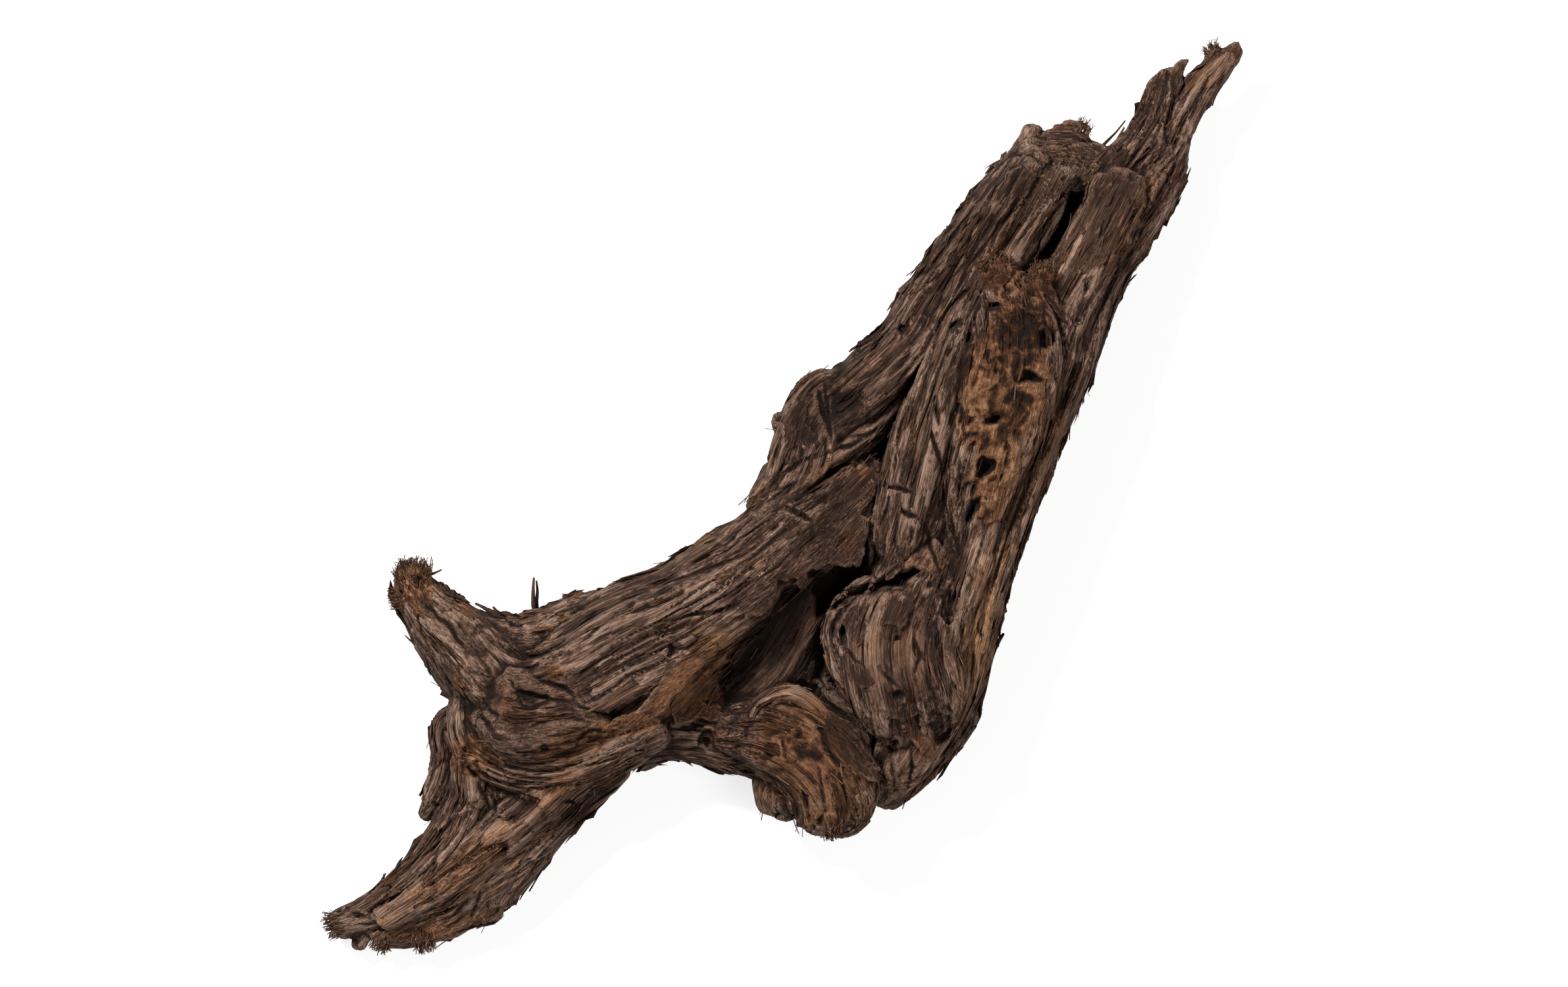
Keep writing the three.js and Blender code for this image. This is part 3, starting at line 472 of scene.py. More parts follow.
# Cracks are narrow grooves: (half width, depth, points along it).
CRACKS = [
    (1.3, 7, [87, 104, 90, 113, 96, 121, 101, 129, 106, 137]),
    (1.0, 5, [63, 62, 66, 72, 70, 79, 76, 86, 83, 91]),
    (0.8, 4, [54, 92, 62, 97, 70, 107, 78, 117, 86, 128]),
    (0.7, 3, [66, 88, 75, 97, 84, 110, 92, 122, 99, 133]),
    (0.7, 3, [76, 96, 84, 105, 90, 114]),
    (0.8, 3.5, [111, 120, 107, 112, 104, 106]),
    (0.9, 4, [136, 130, 134, 126, 132, 121]),
    (0.5, 2, [131, 95, 128, 89, 126, 84]),
    (0.8, 3.5, [153, 131, 153, 124, 148, 113, 142, 101, 138, 90, 132, 76, 126, 62]),
    (0.7, 3, [160, 132, 155, 120, 148, 107, 143, 97]),
    (0.8, 3.5, [150, 141, 154, 146, 159, 151]),
    (0.7, 3, [144, 139, 148, 144, 153, 152, 157, 160]),
    (0.6, 2.5, [152, 150, 157, 160, 161, 170, 163, 177]),
    (0.6, 2.5, [148, 150, 153, 160, 157, 170]),
    (1.2, 5, [171, 176, 167.5, 171, 165, 166, 163, 159, 161, 152]),
    (0.7, 3, [174, 168, 170, 160, 167, 153]),
    (0.6, 2.5, [183, 182, 177, 172, 172, 163]),
    (0.8, 3.5, [161, 139, 163, 136, 159, 128]),
    (0.6, 2.5, [168, 147, 165, 139, 160, 130, 154, 120]),
    (0.6, 3, [118, 148, 113, 142, 108, 138]),
    (0.5, 2.5, [124, 148, 118, 141, 114, 137]),
    (0.5, 2.5, [129, 147, 123, 139]),
    (0.5, 2.5, [133, 146, 127, 137]),
    (0.6, 2.5, [84, -50, 90, -30, 97, -8, 106, 14]),
    (0.6, 2.5, [82, -70, 84, -50, 88, -34]),
    (0.7, 3, [96, -14, 104, 8, 113, 30, 121, 50]),
    (0.6, 2.5, [118, 36, 124, 52, 130, 70]),
    (0.6, 2.5, [112, 22, 119, 40, 126, 58, 132, 74]),
    (0.6, 2.5, [78, -86, 80, -70, 80, -55]),
    (0.8, 6, [40, 6.5, 44, 4.5, 48, 4.2, 52, 2.8, 55.5, 1.5]),
    (0.8, 6, [49, -4, 51, -6.3, 54.5, -7.6, 57.5, -9.3]),
    (0.9, 5, [64, 43, 64.5, 37, 65.5, 31]),
    (0.8, 5, [62, 29, 63, 24, 65, 17, 67, 9]),
    (0.7, 3, [74, 42, 75, 35, 74, 30]),
    (0.6, 3, [50, 14, 55, 24, 60, 36]),
    (0.5, 2.5, [55, 4, 58, 16, 61, 26]),
    (0.6, 3, [52, 30, 57, 41, 61, 52, 67, 62]),
    (0.7, 3.5, [58, 30, 62, 42, 66, 54, 72, 64]),
    (0.6, 3, [68, 20, 70, 34, 74, 48]),
    (0.6, 3, [46, 18, 50, 30, 54, 40]),
    (0.7, 3.5, [45, 2, 43, -6, 40, -14]),
    (0.8, 4, [50, -2, 48, -10, 47, -18, 49, -24]),
    (0.6, 3, [54, -12, 53, -20]),
    (0.7, 3, [60, -12, 62, -22, 66, -32]),
    (0.7, 3, [70, -10, 74, -22, 76, -36]),
    (1.0, 6, [15, 45, 16, 38, 18, 31]),
    (0.8, 3.5, [17, 49, 18, 40, 19, 30, 20, 22]),
    (1.2, 5, [30, 14, 24, 13, 17, 8, 10, 2, 4, -3]),
    (0.8, 3.5, [22, 20, 12, 17, 3, 12, -4, 6]),
    (0.7, 3, [35, 26, 28, 22, 20, 20]),
    (0.7, 3, [44, 33, 36, 27, 28, 25]),
    (0.6, 2.5, [2, 22, 0, 14, -6, 4]),
    (0.9, 3.5, [-8, -3, -4, -1, 2, 3, 8, 8]),
    (1.0, 4, [0, -4, 6, -7, 12, -10]),
    (0.6, 3, [10, -8, -2, -16, -14, -26, -26, -33]),
    (0.7, 3, [20, -12, 8, -20, -6, -31, -20, -40]),
    (0.6, 3, [-4, -14, -16, -24, -30, -30, -46, -37]),
    (0.7, 3.5, [-28, -27, -38, -33, -52, -38]),
    (0.7, 3.5, [-12, -40, -24, -47, -38, -49, -52, -53]),
    (0.8, 3.5, [-36, -50, -48, -56, -56, -58]),
    (0.6, 3, [-40, -40, -56, -46, -72, -52]),
    (0.6, 3, [-60, -45, -74, -52, -86, -62]),
    (0.6, 3, [-50, -62, -62, -68, -76, -76]),
    (0.6, 3, [-52, -70, -64, -74, -78, -84, -92, -88]),
    (0.6, 3, [-66, -60, -78, -68, -88, -76]),
    (1.2, 6, [-119, -61, -114, -64.5, -109, -67, -103, -66.5, -97, -64, -91, -59.5]),
    (0.8, 4, [-119, -51, -115, -54, -110, -55]),
    (0.8, 4, [-141, -56, -138, -60, -134, -64]),
    (0.7, 3.5, [-150, -45, -147, -50, -144, -54]),
    (0.8, 4, [-151, -58, -147, -63, -142, -68]),
    (0.8, 4, [-146, -50, -141, -55, -137, -60]),
    (1.0, 5, [-111, -73, -106, -72, -103, -70]),
    (1.2, 5, [-103, -77, -98, -78.5, -92, -80.5, -88, -84]),
    (1.2, 6, [-113, -80.5, -108, -82.5, -101, -84, -94, -86]),
    (0.7, 3, [-113, -81, -111, -86, -108, -88.5, -102, -87, -96, -85.5, -88, -86]),
    (0.6, 3, [-127, -84, -124, -89, -118, -93]),
    (1.2, 5, [-128, -91, -125, -95, -121, -99]),
    (0.8, 3.5, [-129, -107, -124, -112, -116, -116.5, -106, -118.5, -96, -118, -88, -115]),
    (0.6, 2.5, [-124, -108, -117, -112.5, -108, -115, -98, -115.5, -88, -112, -80, -107]),
    (0.5, 2, [-118, -108, -110, -111.5, -100, -112, -92, -109]),
    (0.9, 4, [-131, -112, -127, -117, -120, -120, -110, -120.5, -100, -119.5]),
    (0.6, 2.5, [-90, -114, -80, -112, -70, -108, -60, -104]),
    (0.8, 3.5, [-88, -106, -87, -102, -82, -98, -76, -98, -68, -99]),
    (0.7, 3, [-90, -86, -82, -89, -72, -92, -62, -91]),
    (0.6, 2.5, [-110, -98, -100, -94, -90, -93, -80, -95]),
    (0.9, 5, [-134, -112, -132, -116, -130, -119]),
    (0.8, 4, [-130, -120, -128, -126, -124, -133]),
    (0.8, 4, [-124, -126, -122, -132, -124, -137]),
    (1.2, 6, [-179, -176.5, -174, -174.5, -169, -171.5, -166, -168]),
    (0.7, 3, [-165, -167, -158, -163, -152, -159, -147, -153, -146, -146]),
    (0.8, 4, [-149, -147, -142, -139, -138, -134]),
    (0.6, 3, [-135, -182, -132, -175, -129, -167]),
    (0.7, 3, [-103, -142.5, -100, -143.5, -98, -143]),
    (0.7, 3, [-115, -160, -111, -150, -105, -143]),
    (0.6, 2.5, [-150, -165, -140, -158, -128, -150, -116, -142]),
    (0.9, 4, [-165, -184, -150, -175, -138, -169, -124, -160]),
    (0.6, 2.5, [-144, -185, -140, -177, -133, -169]),
    (0.6, 2.5, [-108, -160, -103, -152, -100, -146]),
    (0.8, 4, [-95, -129, -92, -128.5, -88, -130]),
    (1.0, 5, [34, -40, 28, -45, 23.5, -49.5, 21, -54, 22, -59, 24.5, -62.5]),
    (0.7, 3, [24.5, -62.5, 28, -65, 30, -68, 33, -70]),
    (0.6, 2.5, [55, -52, 55, -60, 57, -66, 55, -73, 56, -80]),
    (0.7, 3.5, [45, -60, 47, -59, 50, -59]),
    (0.6, 3, [60, -70, 61, -78, 64, -84]),
    (0.5, 2, [39, -70, 44, -76, 50, -80]),
    (0.5, 2, [66, -60, 66, -70, 64, -76]),
    (1.1, 5, [7, -90.5, 12, -93, 15, -96, 17, -101, 18, -105, 22, -111, 26, -115]),
    (0.7, 3.5, [6, -96, 7, -99, 5, -102]),
    (0.9, 5, [8, -122, 9.5, -127, 10, -131]),
    (0.6, 2.5, [20, -95, 25, -103, 29, -112]),
    (0.5, 2, [14, -112, 16, -122, 17, -130]),
    (0.5, 2, [22, -112, 25, -122, 27, -129]),
    (0.7, 3, [-12, -92, -9, -88, -3, -86]),
    (0.6, 2.5, [-15, -95, -16, -103]),
    (0.8, 4, [39, -113, 40, -118, 39.5, -124, 38.5, -131]),
    (0.6, 3, [45, -108, 47, -118, 48, -127]),
    (0.6, 3, [53, -104, 54, -115, 52, -124]),
    (0.6, 3, [66, -92, 67, -103]),
    (0.6, 3, [70, -90, 70, -102]),
]

# Pits are rot holes and bore holes: (x, y, half length, half width, depth, turn in degrees).
PITS = [
    (50.5, 71, 2.3, 2.2, 12, 0),
    (132, 113, 6.6, 1.6, 12, 62),
    (141, 115.5, 1.6, 1.0, 8, 0),
    (72, 72, 4, 1.6, 10, 45),
    (78, 67, 3, 1.8, 8, 60),
    (88, 80, 3.5, 2.0, 9, 10),
    (110, 67, 4.5, 3.2, 8, 70),
    (104, 51, 4.5, 2.0, 9, -20),
    (99.5, 49.5, 2, 1.4, 7, 0),
    (91, 58, 1.6, 1.0, 5, -30),
    (88, 33, 4, 2.0, 9, 30),
    (84.5, 13, 4.5, 3.4, 12, 80),
    (80, 4, 3, 1.2, 8, 70),
    (79, -6, 6.0, 2.0, 11, 65),
    (84, -68, 3, 1.2, 8, 80),
    (61, -37, 1.6, 1.2, 5, 0),
    (48, -83, 2.2, 1.8, 4, 0),
    (-133, -107, 2.4, 2.0, 4, 0),
    (-122, -150, 6.5, 2.6, 9, 25),
    (-101, -105, 1.6, 1.3, 7, -50),
]

# Zones are (x, y, half length, half width, turn in degrees, strength). These are rotten places.
ROTTEN = [
    (94, 52, 40, 19, 75, 1),
    (88, 10, 22, 10, 80, 1),
    (108, 90, 10, 8, 0, 1),
    (91, 94, 9, 8, 0, 1),
    (-156, -36, 9, 9, 0, 1),
    (-132, -110, 10, 9, 0, 1),
    (5, -105, 14, 9, 0, 1),
    (-2, -122, 10, 10, 0, 0.6),
]

# Smooth places.
CALM = [
    (0, -57, 38, 14, 54, 1),
    (133, 108, 32, 11, 62, 0.6),
    (59, 14, 36, 9, 80, 0.6),
    (-104, -92, 24, 16, -20, 0.6),
    (48, -62, 22, 24, 0, 0.95),
    (-133, -64, 20, 10, 135, 0.5),
    (12, -108, 26, 20, -60, 0.8),
    (-35, -72, 30, 9, 48, 0.6),
    (22, 34, 14, 14, 0, 0.4),
    (60, -112, 14, 14, 0, 0.3),
]

# Places painted lighter or darker than the rest: painted shade on parts that lie low or under others,
# painted light and shade that even out how the lamps light each part, and the wood's own lighter and
# darker patches.
LIGHT_AND_TONE_ZONES = [
    (0, -57, 36, 13, 54, -0.45),
    (50, -66, 24, 30, 0, -0.15),
    (-130, -155, 44, 18, 38, 0.3),
    (-168, -180, 18, 10, 20, 0.35),
    (104, 20, 60, 12, 70, 0.12),
    (80, -60, 34, 10, 82, 0.42),
    (-65, -104, 34, 8, 10, 0.12),
    (-40, -74, 20, 8, 50, 0.25),
    (56, -112, 16, 16, 0, 0.1),
    (30, 48, 32, 14, 50, -0.42),
    (8, -106, 26, 24, 0, -0.34),
    (92, 116, 34, 14, 55, -0.2),
    (-105, -90, 24, 18, 0, -0.35),
    (100, 70, 12, 8, -20, -0.3),
    (95, 38, 7, 11, 0, -0.3),
    (18, -2, 24, 12, 35, -0.18),
    (97, 58, 28, 14, 75, -0.18),
    (150, 155, 24, 12, 60, -0.12),
]

# Places where the wood is orange brown but sound.
WARM = [
    (108, 20, 55, 12, 68, 0.55),
    (80, -60, 40, 12, 82, 0.45),
    (150, 122, 26, 7, 58, 0.5),
    (182, 182, 16, 8, 45, 0.45),
    (72, 80, 26, 8, 60, 0.35),
    (-38, -74, 30, 9, 48, 0.75),
    (-62, -95, 22, 5, 15, 0.6),
    (-32, -88, 10, 8, 0, 0.75),
    (-88, -104, 16, 7, 20, 0.5),
    (-128, -150, 46, 8, 38, 0.55),
    (-100, -128, 26, 9, 35, 0.5),
    (-150, -184, 28, 6, 12, 0.45),
    (-120, -85, 12, 8, -40, 0.4),
    (-97, -74, 6, 4, 0, 0.8),
    (20, 12, 20, 6, 30, 0.5),
    (28, -20, 8, 7, 0, 0.6),
    (60, -27, 14, 8, 0, 0.6),
    (56, -101, 9, 4, -55, 0.7),
    (24, -120, 18, 14, 0, 0.4),
    (-12, -22, 12, 8, 30, 0.4),
    (35, 11, 8, 4, 0, 0.6),
    (22, -134, 18, 5, 10, 0.7),
    (36, -70, 12, 16, 0, 0.3),
    (-25, -103, 12, 6, -20, 0.6),
    (-14, -2, 16, 5, 45, 0.4),
    (8, -108, 30, 26, 0, 0.45),
    (56, -112, 16, 20, 0, 0.5),
    (50, -68, 22, 28, 0, 0.38),
    (12, 28, 18, 16, 0, 0.35),
    (14, -2, 24, 12, 35, 0.35),
    (92, 116, 30, 14, 55, 0.25),
]


def unit(vectors):
    return vectors / np.maximum(np.linalg.norm(vectors, axis=-1, keepdims=True), 1e-9)


def heading(degrees):
    """The cosine and sine of an angle."""
    return math.cos(math.radians(degrees)), math.sin(math.radians(degrees))


def within(points, low, high):
    """The indices of the points inside a box."""
    return np.flatnonzero(np.all((points > low) & (points < high), axis=1))


def smooth_rows(rows, spacing):
    """A centripetal Catmull-Rom curve through the rows, whose first three numbers are a place."""
    p = np.array(rows, float)
    p = np.vstack([2 * p[0] - p[1], p, 2 * p[-1] - p[-2]])
    knots = np.sqrt(np.linalg.norm(np.diff(p[:, :3], axis=0), axis=1))
    made = []
    for i in range(1, len(p) - 2):
        a, b, c = knots[i - 1 : i + 2]
        leave = ((p[i] - p[i - 1]) / a - (p[i + 1] - p[i - 1]) / (a + b)) * b + p[i + 1] - p[i]
        arrive = ((p[i + 2] - p[i + 1]) / c - (p[i + 2] - p[i]) / (b + c)) * b + p[i + 1] - p[i]
        step = p[i + 1] - p[i]
        count = max(2, round(np.linalg.norm(step[:3]) / spacing))
        t = np.arange(count)[:, None] / count
        bend, pull = 3 * step - 2 * leave - arrive, leave + arrive - 2 * step
        made.append(p[i] + leave * t + bend * t**2 + pull * t**3)
    made.append(p[-2:-1])
    return np.vstack(made)


def smooth_line(numbers, spacing=1.0):
    """The same curve through a flat row of x, y numbers."""
    flat = np.array(numbers, float).reshape(-1, 2)
    return smooth_rows(np.column_stack([flat, np.zeros(len(flat))]), spacing)[:, :2]


class Noise:
    """Gradient noise on a lattice, about -1 to 1, the same on every run."""

    GRADIENTS = np.array(
        [[x, y, 0] for x in (-1, 1) for y in (-1, 1)]
        + [[x, 0, z] for x in (-1, 1) for z in (-1, 1)]
        + [[0, y, z] for y in (-1, 1) for z in (-1, 1)]
        + [[1, 1, 0], [-1, 1, 0], [0, -1, 1], [0, -1, -1]],
        np.float32,
    )

    @staticmethod
    def cells(ix, iy, iz, seed):
        mixed = (ix * 73856093) ^ (iy * 19349663) ^ (iz * 83492791) ^ (seed * 2654435761)
        mixed = (mixed ^ (mixed >> 13)) * 1274126177
        return (mixed ^ (mixed >> 16)) & 0xFFFF

    @classmethod
    def at(cls, x, y, z, seed=0):
        place = [np.asarray(v, np.float64) for v in np.broadcast_arrays(x, y, z)]
        low = [np.floor(v).astype(np.int64) for v in place]
        part = [(v - i).astype(np.float32) for v, i in zip(place, low)]
        ease = [v * v * v * (v * (v * 6 - 15) + 10) for v in part]
        total = 0
        for corner in range(8):
            dx, dy, dz = corner & 1, corner >> 1 & 1, corner >> 2 & 1
            pick = cls.GRADIENTS[cls.cells(low[0] + dx, low[1] + dy, low[2] + dz, seed) % 16]
            slope = pick[..., 0] * (part[0] - dx) + pick[..., 1] * (part[1] - dy)
            slope = slope + pick[..., 2] * (part[2] - dz)
            share = 1
            for d, e in zip((dx, dy, dz), ease):
                share = share * (e if d else 1 - e)
            total = total + share * slope
        return total

    @classmethod
    def ridged(cls, x, y, z, seed=0):
        """1 on sharp crests, falling to -1 in round valleys."""
        return 1 - 2.6 * np.abs(cls.at(x, y, z, seed))


def smoothstep(low, high, value):
    t = np.clip((value - low) / (high - low), 0, 1)
    return t * t * (3 - 2 * t)


def section(angle, width, depth):
    """Places across and out on a boxy oval, at angles round it."""
    power = 2 / BOXINESS
    x = np.sign(np.cos(angle)) * np.abs(np.cos(angle)) ** power * width
    y = np.sign(np.sin(angle)) * np.abs(np.sin(angle)) ** power * depth
    return x, y


class Limb:
    """One limb: its centre line, the size of its sections, and the ways along, across and out of it."""

    def __init__(self, index, flutes, rows, roll, spacing=ROW_SPACING, sides=SIDES):
        rows = smooth_rows(rows, spacing)
        self.index = index
        self.sides = sides
        self.flutes = flutes
        self.centre = rows[:, :3]
        self.size = np.maximum(rows[:, 3:], SMALLEST)
        self.along = unit(np.gradient(self.centre, axis=0))
        across = unit(np.cross(self.along, UP))
        out = unit(np.cross(across, self.along))
        c, s = heading(roll)
        self.across = across * c - out * s
        self.out = out * c + across * s
        steps = np.linalg.norm(np.diff(self.centre, axis=0), axis=1)
        self.reach = np.concatenate([[0], np.cumsum(steps)])

    def skin(self):
        """A closed skin round the limb: its points and its faces."""
        sides = self.sides
        angle = np.arange(sides) * 2 * math.pi / sides
        phase = self.flutes * angle[None] + self.index + FLUTE_TWIST * self.reach[:, None]
        ridge = 1 + (FLUTE_DEPTH * np.sin(phase) if self.flutes else 0 * phase)
        x, y = section(angle, self.size[:, :1], self.size[:, 1:])
        rings = self.centre[:, None] + (x * ridge)[..., None] * self.across[:, None]
        rings = rings + (y * ridge)[..., None] * self.out[:, None]
        points = np.vstack([rings.reshape(-1, 3), self.centre[:1], self.centre[-1:]])
        count = len(self.centre)
        root, tip = count * sides, count * sides + 1
        faces = []
        for j in range(sides):
            k = (j + 1) % sides
            faces.append((root, j, k))
            faces.append((tip, (count - 1) * sides + k, (count - 1) * sides + j))
            for i in range(count - 1):
                faces.append((i * sides + k, i * sides + j, (i + 1) * sides + j, (i + 1) * sides + k))
        return points, faces

    def local(self, points):
        """How far each point is along, across and out of the limb, and how far off the limb's surface."""
        nearest = np.argmin((self.centre**2).sum(1) - 2 * points @ self.centre.T, axis=1)
        gap = points - self.centre[nearest]
        beyond = (gap * self.along[nearest]).sum(1)
        a = (gap * self.across[nearest]).sum(1)
        b = (gap * self.out[nearest]).sum(1)
        width, depth = self.size[nearest].T
        share = ((np.abs(a) / width) ** BOXINESS + (np.abs(b) / depth) ** BOXINESS) ** (1 / BOXINESS)
        off = np.abs(share - 1) * np.minimum(width, depth) + np.maximum(np.abs(beyond) - ROW_SPACING, 0)
        return np.column_stack([self.reach[nearest] + beyond, a, b]), off

    def frame_at(self, s):
        """Centre, size, across and out at places along the limb."""
        rows = np.column_stack([self.centre, self.size, self.across, self.out])
        return np.column_stack([np.interp(s, self.reach, column) for column in rows.T])

    def surface(self, s, angle):
        """Points on the limb's skin, the way out of it there, and their places along, across and out."""
        at = self.frame_at(s)
        x, y = section(angle, at[:, 3], at[:, 4])
        out = x[:, None] * at[:, 5:8] + y[:, None] * at[:, 8:11]
        return at[:, :3] + out, unit(out), np.column_stack([s, x, y])


def all_limbs():
    return [Limb(i, s["flutes"], s["rows"], s["roll"]) for i, s in enumerate(LIMBS.values())]


class GrainMap:
    """The two limbs nearest to each point, the point's place in each, and their shares."""

    MARGIN = 9.0  # how far off a limb its grain still reaches
    APART = 1000.0  # moves each limb's grain to a place of its own
    BLEND = 1.3  # how softly one limb's grain gives way to the next

    def __init__(self, points, limbs):
        count = len(points)
        self.off = np.full((2, count), 1e6)
        self.place = np.zeros((2, count, 3))
        for one in limbs:
            room = one.size.max() + self.MARGIN
            near = within(points, one.centre.min(0) - room, one.centre.max(0) + room)
            if not len(near):
                continue
            place, off = one.local(points[near])
            place[:, 0] += self.APART * one.index
            first = off < self.off[0, near]
            second = ~first & (off < self.off[1, near])
            moved = near[first]
            self.off[1, moved], self.place[1, moved] = self.off[0, moved], self.place[0, moved]
            self.off[0, moved], self.place[0, moved] = off[first], place[first]
            moved = near[second]
            self.off[1, moved], self.place[1, moved] = off[second], place[second]
        lead = np.clip((self.off[1] - self.off[0]) / self.BLEND, 0, 30)
        self.share = 1 / (1 + np.exp(-lead))

    def blend(self, pattern):
        """A pattern of along, across and out, blended where two limbs meet."""
        first = pattern(*self.place[0].T)
        second = pattern(*self.place[1].T)
        return first * self.share + second * (1 - self.share)


def near_line(points, line, reach):
    """The points near a line in X and Y: their indices, signed distance and share of the way along it."""
    near = within(points[:, :2], line.min(0) - reach, line.max(0) + reach)
    if not len(near):
        return near, np.zeros(0), np.zeros(0)
    flat = points[near, :2]
    nearest = np.argmin((line**2).sum(1) - 2 * flat @ line.T, axis=1)
    gap = flat - line[nearest]
    way = unit(np.gradient(line, axis=0))[nearest]
    side = way[:, 0] * gap[:, 1] - way[:, 1] * gap[:, 0]
    distance = np.linalg.norm(gap, axis=1) * np.where(side < 0, -1, 1)
    kept = np.abs(distance) < reach
    return near[kept], distance[kept], nearest[kept] / (len(line) - 1)


def inside_outline(points, numbers):
    """The points inside a closed outline in X and Y: their indices and their distance from the outline."""
    corners = np.array(numbers, float).reshape(-1, 2)
    near = within(points[:, :2], corners.min(0), corners.max(0))
    x, y = points[near, 0], points[near, 1]
    inside = np.zeros(len(near), bool)
    gap = np.full(len(near), 1e6)
    for (ax, ay), (bx, by) in zip(corners, np.roll(corners, -1, axis=0)):
        run, climb = bx - ax, by - ay
        if climb:
            inside ^= ((ay > y) != (by > y)) & (x < run * (y - ay) / climb + ax)
        share = np.clip(((x - ax) * run + (y - ay) * climb) / (run**2 + climb**2), 0, 1)
        gap = np.minimum(gap, np.hypot(x - ax - share * run, y - ay - share * climb))
    return near[inside], gap[inside]


def wall_share(points, wall, numbers):
    """The points inside an outline, and how far down its ragged wall each lies, from 0 to 1."""
    near, gap = inside_outline(points, numbers)
    wobble = 0.8 * Noise.at(points[near, 0] / 4, points[near, 1] / 4, 0, 8)
    return near, smoothstep(0, wall, gap + wobble)


def ragged_width(points):
    """How much wider or narrower than drawn the pits and cracks are at each point."""
    return 1 + 0.35 * Noise.at(points[:, 0] / 3, points[:, 1] / 3, 0, 7)


def facing_up(normals):
    """How far each point faces up, from 0 on the sides to 1 on top."""
    return smoothstep(0.05, 0.45, normals[:, 2])


def hollow_out(points, normals, tops=None):
    """Sinks the hollows, floors and pits into what faces up. Gives each point's lift and its painted shade.

    The painted shade grows with how deep a point lies. With the heights from before, only what now lies
    lower counts as deep.
    """
    fallen = np.full(len(points), 99.0) if tops is None else tops.at(points[:, :2]) - points[:, 2]
    lift = np.zeros(len(points))
    dark = np.zeros(len(points))
    ragged = ragged_width(points)
    for depth, wall, numbers in HOLLOWS:
        near, share = wall_share(points, wall, numbers)
        lift[near] = np.minimum(lift[near], -depth * share)
        deep = smoothstep(0.2, 0.8, fallen[near] / depth)
        dark[near] = np.maximum(dark[near], 0.5 * share * deep * min(1, depth / 8))
    for level, wall, numbers in FLOORS:
        near, share = wall_share(points, wall, numbers)
        over = np.maximum(points[near, 2] - level, 0)
        lift[near] = np.minimum(lift[near], -FLOOR_CUT * over * share)
        deep = smoothstep(10, 0, points[near, 2] - level) if tops is not None else 1.0
        dark[near] = np.maximum(dark[near], 0.15 * share * deep)
    for x, y, length, width, depth, turn in PITS:
        c, s = heading(turn)
        gap = points[:, :2] - (x, y)
        near = np.flatnonzero(np.abs(gap).max(1) < length * 2)
        along, across = gap[near] @ (c, s), gap[near] @ (-s, c)
        share = np.hypot(along / length, across / width) / ragged[near]
        lift[near] = np.minimum(lift[near], -depth * smoothstep(1.15, 0.75, share))
        dark[near] = np.maximum(dark[near], smoothstep(1.25, 0.8, share))
    facing = facing_up(normals)
    return np.maximum(lift, np.minimum(0, UNDER_SKIN - points[:, 2])) * facing, dark * facing


def carve(points, normals):
    """Carves the cracks into what faces up. Gives the lift of each point and its painted shade, by how deep
    it lies.
    """
    lift = np.zeros(len(points))
    dark = np.zeros(len(points))
    ragged = ragged_width(points)
    for width, depth, numbers in CRACKS:
        near, side, way = near_line(points, smooth_line(numbers), width * 2.2)
        taper = np.sin(math.pi * np.clip(way, 0.02, 0.98)) ** 0.6
        groove = np.clip(1 - np.abs(side) / (width * taper * ragged[near] + 0.3), 0, 1) ** 0.8
        lift[near] = np.minimum(lift[near], -depth * groove * taper)
        dark[near] = np.maximum(dark[near], groove * taper)
    facing = facing_up(normals)
    return lift * facing, dark * facing


def broad_ridges(s, a, b):
    """The wide ridges and hollows along the grain."""
    bend = 2.5 * Noise.at(s / 60, a / 30, b / 30, 1)
    wide = Noise.ridged(s / 120, (a + bend) / 14, b / 14, 2)
    middle = Noise.ridged(s / 90, (a + bend) / 6.5, (b - bend) / 6.5, 3)
    return 1.6 * wide + 0.6 * middle


def strands(s, a, b, length, width, seed):
    """Torn strands side by side: each rises from 0 and breaks off at 1, with a split beside it."""
    wander = (s / (5 * length), a / (3 * width), b / (3 * width))
    u = a / width + 0.7 * Noise.at(*wander, seed)
    v = b / width + 0.7 * Noise.at(*wander, seed + 1)
    column = Noise.cells(np.floor(u).astype(np.int64), np.floor(v).astype(np.int64), 0, seed) / 65536.0
    fray = 0.05 * Noise.at(s / 12, a / 0.9, b / 0.9, seed + 2)
    rise = (s / (length * (0.7 + 0.6 * column)) + 7 * column + fray) % 1.0
    split = smoothstep(0.1, 0.0, np.abs(u - np.round(u))) * smoothstep(0.2, 0.8, column)
    return rise**1.3 * smoothstep(1.0, 0.96, rise) + 0.35 * column - 0.5 * split


def cracks_along(s, a, b, width, seed):
    """Narrow drying cracks that follow the grain."""
    gap = np.abs(Noise.at(s / (16 * width), a / width, b / width, seed))
    where = smoothstep(-0.05, 0.25, Noise.at(s / 40, a / (2 * width), b / (2 * width), seed + 1))
    return smoothstep(0.075, 0.0, gap) * where


def fine_ridges(s, a, b):
    """Narrow ridges, torn strands, drying cracks and fibres along the grain."""
    bend = 1.3 * Noise.at(s / 40, a / 18, b / 18, 11)
    a = a + bend
    narrow = Noise.ridged(s / 75, a / 3.2, b / 3.2, 13)
    fibre = Noise.at(s / 35, a / 1.35, b / 1.35, 15)
    rough = smoothstep(-0.35, 0.3, Noise.at(s / 50, a / 22, b / 22, 16))
    torn = 1.3 * strands(s, a, b, 60, 8.5, 30) + 0.5 * strands(s, a, b, 26, 3.6, 40)
    split = 2.6 * cracks_along(s, a, b, 6.5, 34) + 1.2 * cracks_along(s, a, b, 3.1, 36)
    return 0.28 * narrow + 0.45 * fibre + torn * (0.2 + 0.75 * rough) - split


def read(items, name, width=1, kind=np.float32):
    """One value of each of a mesh's points, edges or faces, as an array of so many columns."""
    found = np.empty(len(items) * width, kind)
    items.foreach_get(name, found)
    return found if width == 1 else found.reshape(-1, width)


